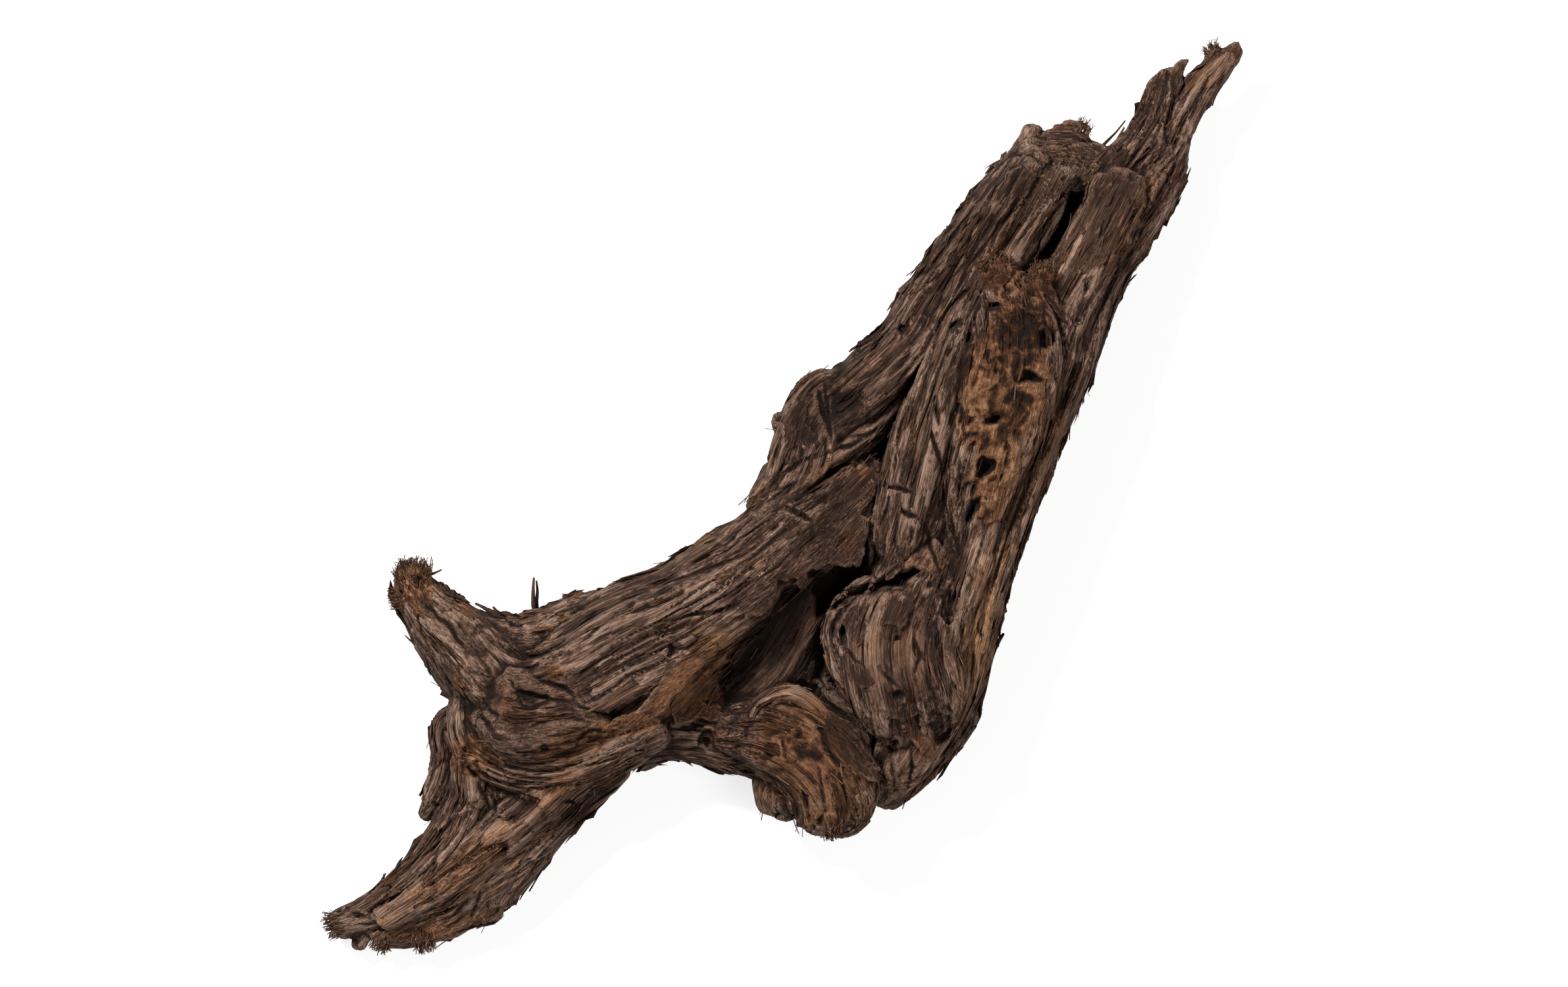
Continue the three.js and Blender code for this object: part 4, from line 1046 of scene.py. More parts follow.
def mesh_arrays(mesh):
    """The points and normals of a mesh."""
    return read(mesh.vertices, "co", 3).astype(float), read(mesh.vertices, "normal", 3).astype(float)


def set_points(mesh, points):
    mesh.vertices.foreach_set("co", points.astype(np.float32).ravel())
    mesh.update()


def applied(piece, steps):
    """Runs modifiers on a piece, each given as its kind and settings, and keeps the result as its mesh."""
    for kind, settings in steps:
        modifier = piece.modifiers.new(kind.title(), kind)
        for name, value in settings.items():
            setattr(modifier, name, value)
    evaluated = piece.evaluated_get(bpy.context.evaluated_depsgraph_get())
    mesh = bpy.data.meshes.new_from_object(evaluated)
    piece.modifiers.clear()
    old = piece.data
    piece.data = mesh
    bpy.data.meshes.remove(old)
    return mesh


def merged(parts):
    """The points and faces of several parts as one set."""
    faces, start = [], 0
    for points, own_faces in parts:
        faces += [tuple(start + v for v in face) for face in own_faces]
        start += len(points)
    return np.vstack([points for points, _ in parts]), faces


def new_mesh(name, points, faces):
    mesh = bpy.data.meshes.new(name)
    mesh.from_pydata([tuple(p) for p in points], [], faces)
    return mesh


def new_piece(name, points, faces):
    piece = bpy.data.objects.new(name, new_mesh(name, points, faces))
    bpy.context.scene.collection.objects.link(piece)
    return piece


def finish_piece(piece, material):
    """Gives a piece its material and its place among the bodies."""
    piece.data.materials.clear()
    piece.data.materials.append(material)
    piece.data.polygons.foreach_set("use_smooth", np.ones(len(piece.data.polygons), bool))
    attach(piece, BODY)
    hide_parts(NODE)


class Wire:
    """A shader socket that can be used in sums: each operator adds its Math node."""

    def __init__(self, maker, socket):
        self.maker = maker
        self.socket = socket

    def math(self, operation, *values):
        return self.maker.add("ShaderNodeMath", {"operation": operation}, dict(enumerate(values)))

    def __add__(self, other):
        return self.math("ADD", self, other)

    def __radd__(self, other):
        return self.math("ADD", other, self)

    def __sub__(self, other):
        return self.math("SUBTRACT", self, other)

    def __rsub__(self, other):
        return self.math("SUBTRACT", other, self)

    def __mul__(self, other):
        return self.math("MULTIPLY", self, other)

    def clamped(self):
        return self.maker.add("ShaderNodeClamp", {}, {0: self, 1: 0.0, 2: 1.0})

    def step(self, low, high):
        """0 below low and 1 above high, with a smooth climb between them."""
        settings = {"interpolation_type": "SMOOTHSTEP"}
        return self.maker.add("ShaderNodeMapRange", settings, {0: self, 1: low, 2: high, 3: 0.0, 4: 1.0})


class NodeMaker:
    """Adds nodes to one tree, a material's or a geometry group's."""

    def __init__(self, owner):
        if isinstance(owner, bpy.types.Material):
            owner.use_nodes = True
            owner = owner.node_tree
        self.tree = owner
        self.tree.nodes.clear()

    def add(self, kind, settings=None, sockets=None, output=0):
        node = self.tree.nodes.new(kind)
        for name, value in (settings or {}).items():
            if name == "stops":
                ramp = node.color_ramp
                while len(ramp.elements) < len(value):
                    ramp.elements.new(1.0)
                for element, (place, colour) in zip(ramp.elements, value):
                    element.position = place
                    element.color = (*colour, 1.0)
            else:
                setattr(node, name, value)
        for key, value in (sockets or {}).items():
            if isinstance(value, Wire):
                self.tree.links.new(value.socket, node.inputs[key])
            else:
                node.inputs[key].default_value = value
        return Wire(self, node.outputs[output])

    def finish(self, surface):
        output = self.tree.nodes.new("ShaderNodeOutputMaterial")
        self.tree.links.new(surface.socket, output.inputs["Surface"])

    def attribute(self, name, output):
        return self.add("ShaderNodeAttribute", {"attribute_name": name}, {}, output)

    def scaled(self, vector, factors):
        settings = {"operation": "MULTIPLY"}
        return self.add("ShaderNodeVectorMath", settings, {0: vector, 1: factors})

    def noise(self, vector, scale=1.0, detail=3.0, roughness=0.6, distortion=0.0):
        sockets = {"Vector": vector, "Scale": scale, "Detail": detail, "Roughness": roughness}
        return self.add("ShaderNodeTexNoise", {}, {**sockets, "Distortion": distortion})

    def ramp(self, factor, stops):
        return self.add("ShaderNodeValToRGB", {"stops": stops}, {0: factor})

    def mix(self, factor, first, second):
        return self.add("ShaderNodeMix", {"data_type": "RGBA"}, {0: factor, 6: first, 7: second}, output=2)


def wood_material(colours):
    """Weathered wood: grey on the ridges, orange brown in the rot, painted shade near black in the cracks.

    Each colour comes in shaded and lit copies, which paint shade in the grooves and highlights on the
    crests.
    """
    material = bpy.data.materials.new("weathered_wood")
    make = NodeMaker(material)
    grain = make.attribute("grain", 1)
    dark, rot, relief, calm = (make.attribute(name, 2) for name in ("dark", "rot", "relief", "calm"))
    here = make.add("ShaderNodeTexCoord", {}, {}, output=3)

    fibre = make.noise(make.scaled(grain, (42, 1250, 1250)), detail=4.0, roughness=0.65, distortion=0.3)
    strand = make.noise(make.scaled(grain, (16, 380, 380)), detail=3.0, roughness=0.6, distortion=0.4)
    hair = make.noise(make.scaled(grain, (100, 3000, 3000)), detail=2.0, roughness=0.6)
    split = make.noise(make.scaled(grain, (26, 560, 560)), detail=2.0, roughness=0.55, distortion=0.2)
    nick = make.noise(make.scaled(grain, (38, 1500, 1500)), detail=1.0, roughness=0.5)
    patch = make.noise(here, scale=20.0, detail=3.0)
    crumb = make.noise(here, scale=520.0, detail=4.0, roughness=0.7)
    clump = make.noise(here, scale=190.0, detail=5.0, roughness=0.65, distortion=0.5)
    rotten = rot.step(0.78, 0.98)
    crack = split.step(0.345, 0.4) * (0.35 + nick.step(0.37, 0.45) * 0.65)
    crack = 1 - (1 - crack) * (1 - calm * 0.75)

    streak = (fibre * 0.42 + strand * 0.16 + hair * 0.42 - 0.5) * (2.1 - calm * 0.8)
    streak = streak * (1 - rotten * 0.7) + (clump - 0.5) * 1.1 * rotten
    # Painted light and shade: the tone takes in the stored painted light and shade, along with the grain's
    # streaks and random patches.
    tone = streak + 0.455 + (relief - 0.5) * 0.5 + (patch - 0.5) * 0.45 + (clump - 0.5) * 0.25
    greys = (colours.crevice_shade, colours.shade, colours.wood, colours.wear_and_highlight)
    browns = (colours.crevice_shade, colours.rot_shade, colours.rot, colours.torn_rot_and_highlight)
    grey = make.ramp(tone, list(zip((0.12, 0.36, 0.54, 0.86), greys)))
    rust = make.ramp(tone + (crumb - 0.5) * 0.3, list(zip((0.12, 0.36, 0.56, 0.86), browns)))
    spread = (rot + (patch - 0.5) * 1.5 + (strand - 0.5) * 0.6).step(0.12, 0.75)
    colour = make.mix(spread, grey, rust)
    # Painted shade: the colour turns towards near black where the stored painted shade is high and along
    # the fine cracks of the grain.
    deep = (dark + (1 - crack) * 0.75 * (1 - rot * 0.6)).clamped()
    colour = make.mix(deep * 0.92, colour, (*colours.crevice_shade, 1.0))

    lines = (fibre * 0.75 + hair * 0.35 + strand * 0.5) * (1 - rotten * 0.6) * (1 - calm * 0.4)
    height = lines + crack * 0.9 + (crumb - 0.5) * (0.3 + rot * 0.7) + clump * rotten * 1.6
    bump = make.add("ShaderNodeBump", {}, {"Strength": 1.0, "Distance": BUMP_DEPTH, "Height": height})
    rough = 0.78 + fibre * 0.18
    sockets = {"Base Color": colour, "Roughness": rough, "Normal": bump, "Specular IOR Level": 0.1}
    surface = make.add("ShaderNodeBsdfPrincipled", {}, sockets)
    make.finish(surface)
    return material


class TopMap:
    """The height of the wood's upper side on a grid, and flat fits to it."""

    CELL = 1.5

    def __init__(self, points, normals):
        upper = points[normals[:, 2] > 0.1]
        self.low = upper[:, :2].min(0) - 3 * self.CELL
        cell = ((upper[:, :2] - self.low) / self.CELL).astype(int)
        self.tops = np.zeros(cell.max(0) + 4)
        np.maximum.at(self.tops, (cell[:, 0], cell[:, 1]), upper[:, 2])

    def at(self, flat):
        cell = np.clip(((flat - self.low) / self.CELL).astype(int), 0, np.array(self.tops.shape) - 1)
        return self.tops[cell[:, 0], cell[:, 1]]

    def plane(self, flat):
        """Heights of a gently sloping plane that lies on the higher part of the wood under the points."""
        height = self.at(flat)
        kept = np.flatnonzero(height > 0)
        middle = flat.mean(0)
        terms = np.column_stack([flat - middle, np.ones(len(flat))])
        for share in (35, 25):
            fit = np.linalg.lstsq(terms[kept], height[kept], rcond=None)[0]
            over = height[kept] - terms[kept] @ fit
            kept = kept[over >= np.percentile(over, share)]
        slope = np.clip(0.7 * fit[:2], -0.4, 0.4)
        tilt = (flat - middle) @ slope
        return tilt + np.percentile((height - tilt)[height > 0], 78)


def sheet_solid(tops, thick, root, tip, turn, jag, numbers, step=SHEET_STEP):
    """A torn plate with the given outline, lying on the wood and lifted from root to tip.

    Gives its points and faces, and for each point of one side its share of the way to the tip and its
    distance from the rim.
    """
    corners = np.array(numbers, float).reshape(-1, 2)
    rim = []
    for a, b in zip(corners, np.roll(corners, -1, axis=0)):
        count = max(1, round(np.linalg.norm(b - a) / step))
        rim += [a + (b - a) * k / count for k in range(count)]
    rim = np.array(rim)
    way = unit(np.roll(rim, -1, axis=0) - np.roll(rim, 1, axis=0))
    teeth = sum(height * Noise.at(*(rim / width).T, 0, seed) for height, width, seed in TEETH)
    rim = rim + np.column_stack([way[:, 1], -way[:, 0]]) * (1.9 * jag * teeth)[:, None]
    low, high = rim.min(0), rim.max(0)
    steps = (np.arange(a + 0.7, b, 1.5 * step) for a, b in zip(low, high))
    x, y = np.meshgrid(*steps, indexing="ij")
    grid = np.column_stack([x.ravel(), y.ravel(), 0 * x.ravel()])
    inner, gap = inside_outline(grid, rim.ravel())
    grid = grid[inner[gap > 0.8 * step], :2]
    places = [Vector(p) for p in np.vstack([rim, grid])]
    made = delaunay_2d_cdt(places, [], [list(range(len(rim)))], 1, 1e-5)
    flat = np.array([tuple(p) for p in made[0]])
    faces = [tuple(face) for face in made[2]]
    sides = [side for face in faces for side in zip(face, face[1:] + face[:1])]
    edge = np.zeros(len(flat))
    inner, gap = inside_outline(np.column_stack([flat, 0 * flat[:, 0]]), rim.ravel())
    edge[inner] = gap
    along = flat @ heading(turn)
    share = (along - along.min()) / (along.max() - along.min())
    plane = tops.plane(flat)
    follow = np.clip(tops.at(flat) - plane, -2, 3)
    for _ in range(3):
        total, count = follow.copy(), np.ones(len(flat))
        for a, b in sides:
            total[a] += follow[b]
            count[a] += 1
        follow = total / count
    top = plane + 0.8 * follow + root + (tip - root) * share**1.5 - 0.35 * thick * smoothstep(2.5, 0, edge)
    top = np.minimum(top, SHEET_TOP)
    bottom = top - thick * (0.45 + 0.55 * smoothstep(0, 4, edge))
    count = len(flat)
    points = np.vstack([np.column_stack([flat, top]), np.column_stack([flat, np.maximum(bottom, 0.3)])])
    edges = dict.fromkeys(sides)
    walls = [(b, a, count + a, count + b) for a, b in edges if (b, a) not in edges]
    under = [tuple(count + v for v in reversed(face)) for face in faces]
    return points, faces + under + walls, share, edge


def add_sheets(body, tops):
    """Adds the torn plates to the body's mesh, as closed solids that the next remesh joins to it."""
    old = body.data
    parts = [(mesh_arrays(old)[0], [tuple(face.vertices) for face in old.polygons])]
    parts += [sheet_solid(tops, *settings)[:2] for settings in SHEETS]
    body.data = new_mesh("driftwood_body", *merged(parts))
    bpy.data.meshes.remove(old)


def fine_lift(points, grain):
    """How far the narrow ridges, the rot and the smooth places move each point outwards."""
    soft = rot_share(points)
    ridges = grain.blend(fine_ridges) * (1 - 0.8 * soft) * (1 - 0.75 * calm_share(points))
    return ridges + rot_relief(points) * soft


def build_plates(limbs, tops, material):
    """The crisp torn skins of the plates, laid over their solids in the body."""
    parts = []
    for _, root, tip, turn, jag, numbers in SHEETS:
        made = sheet_solid(tops, PLATE_THICK, root, tip, turn, 1.5 * jag, numbers, PLATE_STEP)
        plate, faces, share, edge = made
        share, edge = np.tile(share, 2), np.tile(edge, 2)
        plate[:, 2] += -0.9 + 1.7 * smoothstep(0.0, 0.3, share)
        under = np.repeat([0.0, 1.0], len(plate) // 2)
        parts.append((np.column_stack([plate, share, edge, under]), faces))
    columns, faces = merged(parts)
    points, (share, edge, under) = columns[:, :3], columns[:, 3:].T
    grain = GrainMap(points, limbs)
    lift, deep = carve(points, np.tile(UP, (len(points), 1)))
    points = points + UP * (fine_lift(points, grain) + lift)[:, None]
    points[:, 2] = np.clip(points[:, 2], LOWEST, HIGHEST)
    piece = new_piece("plates", points * MM, faces)
    torn = smoothstep(0.25, 0.6, share)
    # Painted highlight along each plate's torn rim.
    rim = smoothstep(1.6, 0.2, edge) * torn
    grit = Noise.at(*(points / 3).T, 61)
    rust = smoothstep(5, 0, edge) * torn * smoothstep(-0.3, 0.4, grit)
    # Painted shade in the cracks and on each plate's underside.
    add_values(piece.data, "dark", np.maximum(deep, 0.8 * under))
    add_values(piece.data, "rot", np.maximum(brown_share(points), 0.55 * rust))
    add_values(piece.data, "relief", 0.46 + (0.3 + 0.3 * grit) * rim + painted_light_and_tone(points))
    add_values(piece.data, "calm", calm_share(points))
    store_grain(piece.data, grain)
    finish_piece(piece, material)


def remeshed(piece, voxel, rounds):
    """Remeshes a piece into cells of one size and smooths it. Gives its mesh, points and normals."""
    cells = ("REMESH", {"mode": "VOXEL", "voxel_size": voxel / MM})
    mesh = applied(piece, [cells, ("SMOOTH", {"factor": 0.5, "iterations": rounds})])
    return mesh, *mesh_arrays(mesh)


def build_body(limbs, sizes, material):
    """The body of the wood: limbs joined, carved, remeshed, given their grain and thinned.

    Gives the heights of its upper side from before the plates.
    """
    body = new_piece("driftwood_body", *merged([one.skin() for one in limbs]))
    mesh, points, normals = remeshed(body, sizes.first_voxel, sizes.blend_rounds)
    lift = GrainMap(points, limbs).blend(broad_ridges) * (1 - 0.6 * calm_share(points))
    lift = lift * sizes.ridge_height / MM
    sunk, _ = hollow_out(points, normals)
    tops = TopMap(points, normals)
    set_points(mesh, points + normals * lift[:, None] + UP * sunk[:, None])
    add_sheets(body, tops)
    mesh, points, normals = remeshed(body, sizes.second_voxel, 1)
    lift = fine_lift(points, GrainMap(points, limbs)) * sizes.grain_height / MM
    sunk, _ = carve(points, normals)
    points = points + normals * lift[:, None] + UP * sunk[:, None]
    points[:, 2] = np.clip(points[:, 2], 0, HIGHEST)
    set_points(mesh, points)
    count = sum(len(p.vertices) - 2 for p in mesh.polygons)
    thinner = ("DECIMATE", {"ratio": min(1.0, sizes.face_limit / count)})
    mesh = applied(body, [("SMOOTH", {"factor": 0.45, "iterations": 1}), thinner])
    paint(mesh, limbs, tops)
    points, _ = mesh_arrays(mesh)
    set_points(mesh, points * MM)
    finish_piece(body, material)
    return tops


def zone_shares(points, rows, low, high, wobble, size, seed):
    """How far each point lies inside each zone, times its strength, fading out from low to high."""
    ragged = wobble * Noise.at(*(points / size).T, seed)
    for x, y, length, width, turn, strength in rows:
        c, s = heading(turn)
        gap = points[:, :2] - (x, y)
        reach = np.hypot(gap @ (c, s) / length, gap @ (-s, c) / width)
        yield strength * smoothstep(high, low, reach + ragged)


def rot_share(points):
    """How rotten the wood is at each point, from 0 to 1: the burl and the torn ends crumble."""
    return np.maximum.reduce(list(zone_shares(points, ROTTEN, 0.7, 1.25, 0.3, 7, 21)))


def warm_share(points):
    """How orange brown the sound wood is at each point, from 0 to 1."""
    return np.maximum.reduce(list(zone_shares(points, WARM, 0.5, 1.3, 0.35, 9, 27)))


def brown_share(points):
    """How orange brown the wood is at each point, rotten or sound."""
    return np.maximum(rot_share(points), warm_share(points))


def painted_light_and_tone(points):
    """How much painted light, painted shade and the wood's own tone make each point lighter or darker than
    the rest.
    """
    return sum(zone_shares(points, LIGHT_AND_TONE_ZONES, 0.5, 1.35, 0.3, 12, 31))


def calm_share(points):
    """How smooth the wood is at each point, from 0 to 1."""
    return np.maximum.reduce(list(zone_shares(points, CALM, 0.75, 1.2, 0.25, 9, 29)))


def rot_relief(points):
    """Crumbling lumps and pits that flow round each other."""
    turned = points @ ROT_TURN
    flow = np.column_stack([Noise.at(*(turned / 13).T, seed) for seed in (25, 35, 45)])
    x, y, z = (turned + 9 * flow).T
    lumps = Noise.at(x / 8, y / 5, z / 8, 22)
    folds = Noise.ridged(x / 9, y / 3.6, z / 6, 26)
    where = smoothstep(-0.1, 0.3, Noise.at(*(turned / 16).T, 28))
    pits = smoothstep(0.18, 0.42, Noise.at(x / 5, y / 2.9, z / 4, 23)) * where
    grit = Noise.at(x / 1.9, y / 1.4, z / 1.6, 24)
    return 1.3 * lumps + 0.5 * folds - 1.8 * pits + 0.45 * grit


def add_values(mesh, name, values):
    layer = mesh.attributes.new(name, "FLOAT", "POINT")
    layer.data.foreach_set("value", values.astype(np.float32))


def store_vectors(mesh, name, domain, vectors):
    layer = mesh.attributes.new(name, "FLOAT_VECTOR", domain)
    layer.data.foreach_set("vector", vectors.astype(np.float32).ravel())


def hollowness(mesh, points, normals, rounds):
    """How far each point lies under the smoothed surface: above 0 in grooves, below 0 on crests."""
    first, second = read(mesh.edges, "vertices", 2, np.int32).T
    count = len(points)
    degree = np.bincount(first, minlength=count) + np.bincount(second, minlength=count)
    smooth = points.copy()
    for _ in range(rounds):
        moved = np.empty_like(smooth)
        for axis in range(3):
            column = smooth[:, axis]
            total = np.bincount(first, column[second], count) + np.bincount(second, column[first], count)
            moved[:, axis] = total / degree
        smooth = 0.3 * smooth + 0.7 * moved
    return ((smooth - points) * normals).sum(1)


def sunken(points, normals):
    """How far each upward point lies below the tops round it, in mm."""
    low = points[:, :2].min(0)
    cell = ((points[:, :2] - low) / DARK_CELL).astype(int)
    width, height = cell.max(0) + 1
    flat = cell[:, 0] * height + cell[:, 1]
    tops = np.zeros(width * height)
    np.maximum.at(tops, flat, points[:, 2])
    tops = tops.reshape(width, height)
    total, share = tops, (tops > 0).astype(float)
    for axis in (0, 1):
        for _ in range(2):
            total = sum(np.roll(total, k, axis) for k in range(-DARK_REACH, DARK_REACH + 1))
            share = sum(np.roll(share, k, axis) for k in range(-DARK_REACH, DARK_REACH + 1))
    mean = (total / np.maximum(share, 1e-6)).ravel()[flat]
    return (mean - points[:, 2]) * smoothstep(-0.1, 0.3, normals[:, 2])


def paint(mesh, limbs, tops):
    """Stores what the material reads: the grain's way, the painted shade of hollows and cracks, how brown
    and smooth it is, and its tone with painted light on crests and painted shade in grooves.
    """
    points, normals = mesh_arrays(mesh)
    grain = GrainMap(points, limbs)
    dark = np.maximum(carve(points, normals)[1], hollow_out(points, normals, tops)[1])
    near = hollowness(mesh, points, normals, 5)
    far = hollowness(mesh, points, normals, 40)
    # Painted shade: darker in grooves, in wide hollows and where a point lies below the tops round it.
    deep = smoothstep(0.5, 3.2, far) * 0.5 + smoothstep(0.1, 0.75, near) * 0.3
    deep = np.maximum(deep + smoothstep(6, 26, sunken(points, normals)) * 0.45, dark)
    add_values(mesh, "dark", np.clip(deep, 0, 1))
    add_values(mesh, "rot", brown_share(points))
    # Painted light and shade: the tone is lighter on crests and darker in grooves, plus the painted light
    # and tone zones.
    add_values(mesh, "relief", np.clip(0.5 - near / 1.4 - far / 9, 0, 1) + painted_light_and_tone(points))
    add_values(mesh, "calm", calm_share(points))
    store_grain(mesh, grain)


def store_grain(mesh, grain):
    """Stores each corner's place along, across and out of the limb that owns its face."""
    corners = read(mesh.loops, "vertex_index", kind=np.int32)
    starts = read(mesh.polygons, "loop_start", kind=np.int32)
    totals = read(mesh.polygons, "loop_total", kind=np.int32)
    owner = grain.place[0][np.repeat(corners[starts], totals)]
    place = owner
    for choice in (grain.place[1][corners], grain.place[0][corners]):
        same = np.abs(choice[:, 0] - owner[:, 0]) < GrainMap.APART / 2
        place = np.where(same[:, None], choice, place)
    store_vectors(mesh, "grain", "CORNER", place * MM)


# Thin torn pieces of the surface. Each kind has its number of tries, the range of its length and width,
# its thickness, how far its torn end lifts, and its rows along and columns across.
LAYERS = {
    "torn_layers": {
        "tries": 120, "length": (24, 60), "width": (4, 9), "thick": 1.4, "lift": 2.2, "grid": (14, 10),
    },
    "flakes": {
        "tries": 500, "length": (12, 30), "width": (2, 5), "thick": 1.0, "lift": 1.8, "grid": (9, 7),
    },
    "slivers": {
        "tries": 3600, "length": (8, 26), "width": (0.7, 1.8), "thick": 0.7, "lift": 1.4, "grid": (8, 4),
    },
}
SEARCH = 14.0  # how far outside a limb's skin the wood's surface is looked for
STRAY = 4.5  # a thin piece lies no further than this off its limb's skin


def surface_offsets(tree, points, out):
    """How far outside the given points the wood's surface lies, along the way out."""
    found = np.full(len(points), np.nan)
    for i, (point, way) in enumerate(zip(points, out)):
        place = tree.ray_cast((point + way * SEARCH) * MM, -way, 2 * SEARCH * MM)
        if place[0] is not None:
            found[i] = SEARCH - place[3] / MM
    return found


def smoothed_grid(grid, rounds):
    for _ in range(rounds):
        padded = np.pad(grid, 1, mode="edge")
        grid = (padded[:-2, 1:-1] + padded[2:, 1:-1] + padded[1:-1, :-2] + padded[1:-1, 2:]) / 4
    return grid


def closed_grid(rows, columns):
    """The faces of a thin sheet: an upper and an under side of rows and columns, closed round the rim."""
    count = rows * columns
    index = np.arange(count).reshape(rows, columns)
    faces = []
    for i in range(rows - 1):
        for j in range(columns - 1):
            k = i * columns + j
            quad = (k, k + 1, k + columns + 1, k + columns)
            faces += [quad, tuple(count + q for q in reversed(quad))]
    rim = np.concatenate([index[0], index[1:, -1], index[-1, -2::-1], index[-2:0:-1, 0]]).tolist()
    return faces + [(b, a, count + a, count + b) for a, b in zip(rim, rim[1:] + rim[:1])]


def thin_piece(one, tree, kind, draw):
    """One layer, flake or sliver, laid along a limb. Gives its points, faces and finish values, or None."""
    rows, columns = kind["grid"]
    length, width = draw.uniform(*kind["length"]), draw.uniform(*kind["width"])
    total = one.reach[-1]
    if total < length * 0.6:
        return None
    length = min(length, total * 0.8)
    start = draw.uniform(0, total - length)
    forward = draw.random() < 0.5 + 0.45 * math.sin(one.index * 2.4 + start / 60)
    middle = draw.uniform(0, 2 * math.pi)
    skew, curl = draw.uniform(-1, 1), draw.uniform(-1, 1)
    tone, torn_tone = draw.normal(0, 0.05), draw.random()
    v, u = np.meshgrid(np.linspace(0, 1, rows), np.linspace(-1, 1, columns), indexing="ij")
    teeth = 1 - 0.34 * draw.random(columns) ** 1.5 - 0.12 * np.abs(u[0]) - 0.08 * skew * u[0]
    profile = 0.3 + 0.7 * np.sin(np.minimum(v * 1.35, 1) * math.pi / 2)
    wave = 1 + 0.16 * np.sin(v * draw.uniform(4, 11) + draw.uniform(0, 6))
    share = v * teeth
    s = start + length * (share if forward else 1 - share)
    radius = one.frame_at(np.array([start + length / 2]))[0, 3:5].mean()
    drift = draw.uniform(-0.25, 0.25) * width * v
    angle = middle + (u * width / 2 * profile * wave + drift) / radius
    points, out, _ = one.surface(s.ravel(), angle.ravel())
    if points[:, 2].mean() < 8 and out[:, 2].mean() < 0:
        return None
    apart = columns * (rows - 1) // 2
    sample = surface_offsets(tree, points[::apart], out[::apart])
    if np.isnan(sample).any() or np.abs(sample).max() > STRAY:
        return None
    offsets = surface_offsets(tree, points, out)
    if np.isnan(offsets).any() or np.abs(offsets).max() > STRAY * 1.6:
        return None
    base = smoothed_grid(offsets.reshape(rows, columns), 6 if columns > 6 else 1)
    sink = kind["thick"] * (0.5 if columns > 6 else 0.1)
    lift = -sink + (kind["lift"] + kind["thick"]) * v**1.6 * (0.75 + 0.5 * curl * u)
    ribs = 0.22 * np.sin(u * columns * 1.9 + 3 * tone + 1.5 * v) * min(1, width / 6)
    top = base + lift + ribs
    thin = kind["thick"] * (0.35 + 0.65 * (1 - np.abs(u) ** 3)) * (1 - 0.6 * v**3)
    outer = points + out * top.ravel()[:, None]
    inner = points + out * (top - thin).ravel()[:, None]
    vertices = np.vstack([outer, inner])
    vertices[:, 2] = np.clip(vertices[:, 2], LOWEST, HIGHEST)
    faces = closed_grid(rows, columns)
    first = vertices[[faces[0][0], faces[0][1], faces[0][3]]]
    if np.cross(first[1] - first[0], first[2] - first[0]) @ out[0] < 0:
        faces = [tuple(reversed(face)) for face in faces]
    at = one.frame_at(np.tile(s.ravel(), 2))
    gap = vertices - at[:, :3]
    a, b = (gap * at[:, 5:8]).sum(1), (gap * at[:, 8:11]).sum(1)
    grain = np.column_stack([np.tile(s.ravel(), 2) + GrainMap.APART * one.index + 37 * torn_tone, a, b])
    # Painted highlight on the side edges and the lifted end, and painted shade at the root and on the
    # underside.
    edge = np.maximum(np.abs(u) ** 4 * 0.6, smoothstep(0.75, 1.0, v))
    relief = 0.5 + tone + 0.16 * edge
    rot = torn_tone * smoothstep(0.45, 1.0, v) * 0.8 + 0.25 * torn_tone
    dark = np.concatenate([0.35 * (1 - smoothstep(0, 0.25, v)).ravel(), np.full(len(inner), 0.75)])
    return vertices, faces, grain, np.tile(relief.ravel(), 2), np.tile(rot.ravel(), 2), dark


def build_layers(name, kind, body, seed, face_limit, material):
    """Lays thin torn pieces of one kind over the wood, until its tries or its faces run out."""
    draw = np.random.default_rng(seed)
    limbs = all_limbs()
    area = np.array([one.reach[-1] * one.size.mean() for one in limbs])
    tree = BVHTree.FromObject(body, bpy.context.evaluated_depsgraph_get())
    parts, triangles = [], 0
    for _ in range(kind["tries"]):
        made = thin_piece(limbs[draw.choice(len(limbs), p=area / area.sum())], tree, kind, draw)
        if made is None:
            continue
        triangles += 2 * len(made[1])
        if triangles > face_limit:
            break
        parts.append(made)
    points, faces = merged([part[:2] for part in parts])
    grain, relief, rot, dark = (np.concatenate(column) for column in list(zip(*parts))[2:])
    piece = new_piece(name, points * MM, faces)
    mesh = piece.data
    # Painted shade where a piece lies below the tops round it.
    deep = smoothstep(6, 26, sunken(points, np.tile(UP, (len(points), 1))))
    add_values(mesh, "dark", np.maximum(dark, 0.6 * deep))
    add_values(mesh, "rot", np.maximum(rot, 0.9 * brown_share(points)))
    add_values(mesh, "relief", relief + painted_light_and_tone(points))
    corners = read(mesh.loops, "vertex_index", kind=np.int32)
    store_vectors(mesh, "grain", "CORNER", grain[corners] * MM)
    finish_piece(piece, material)


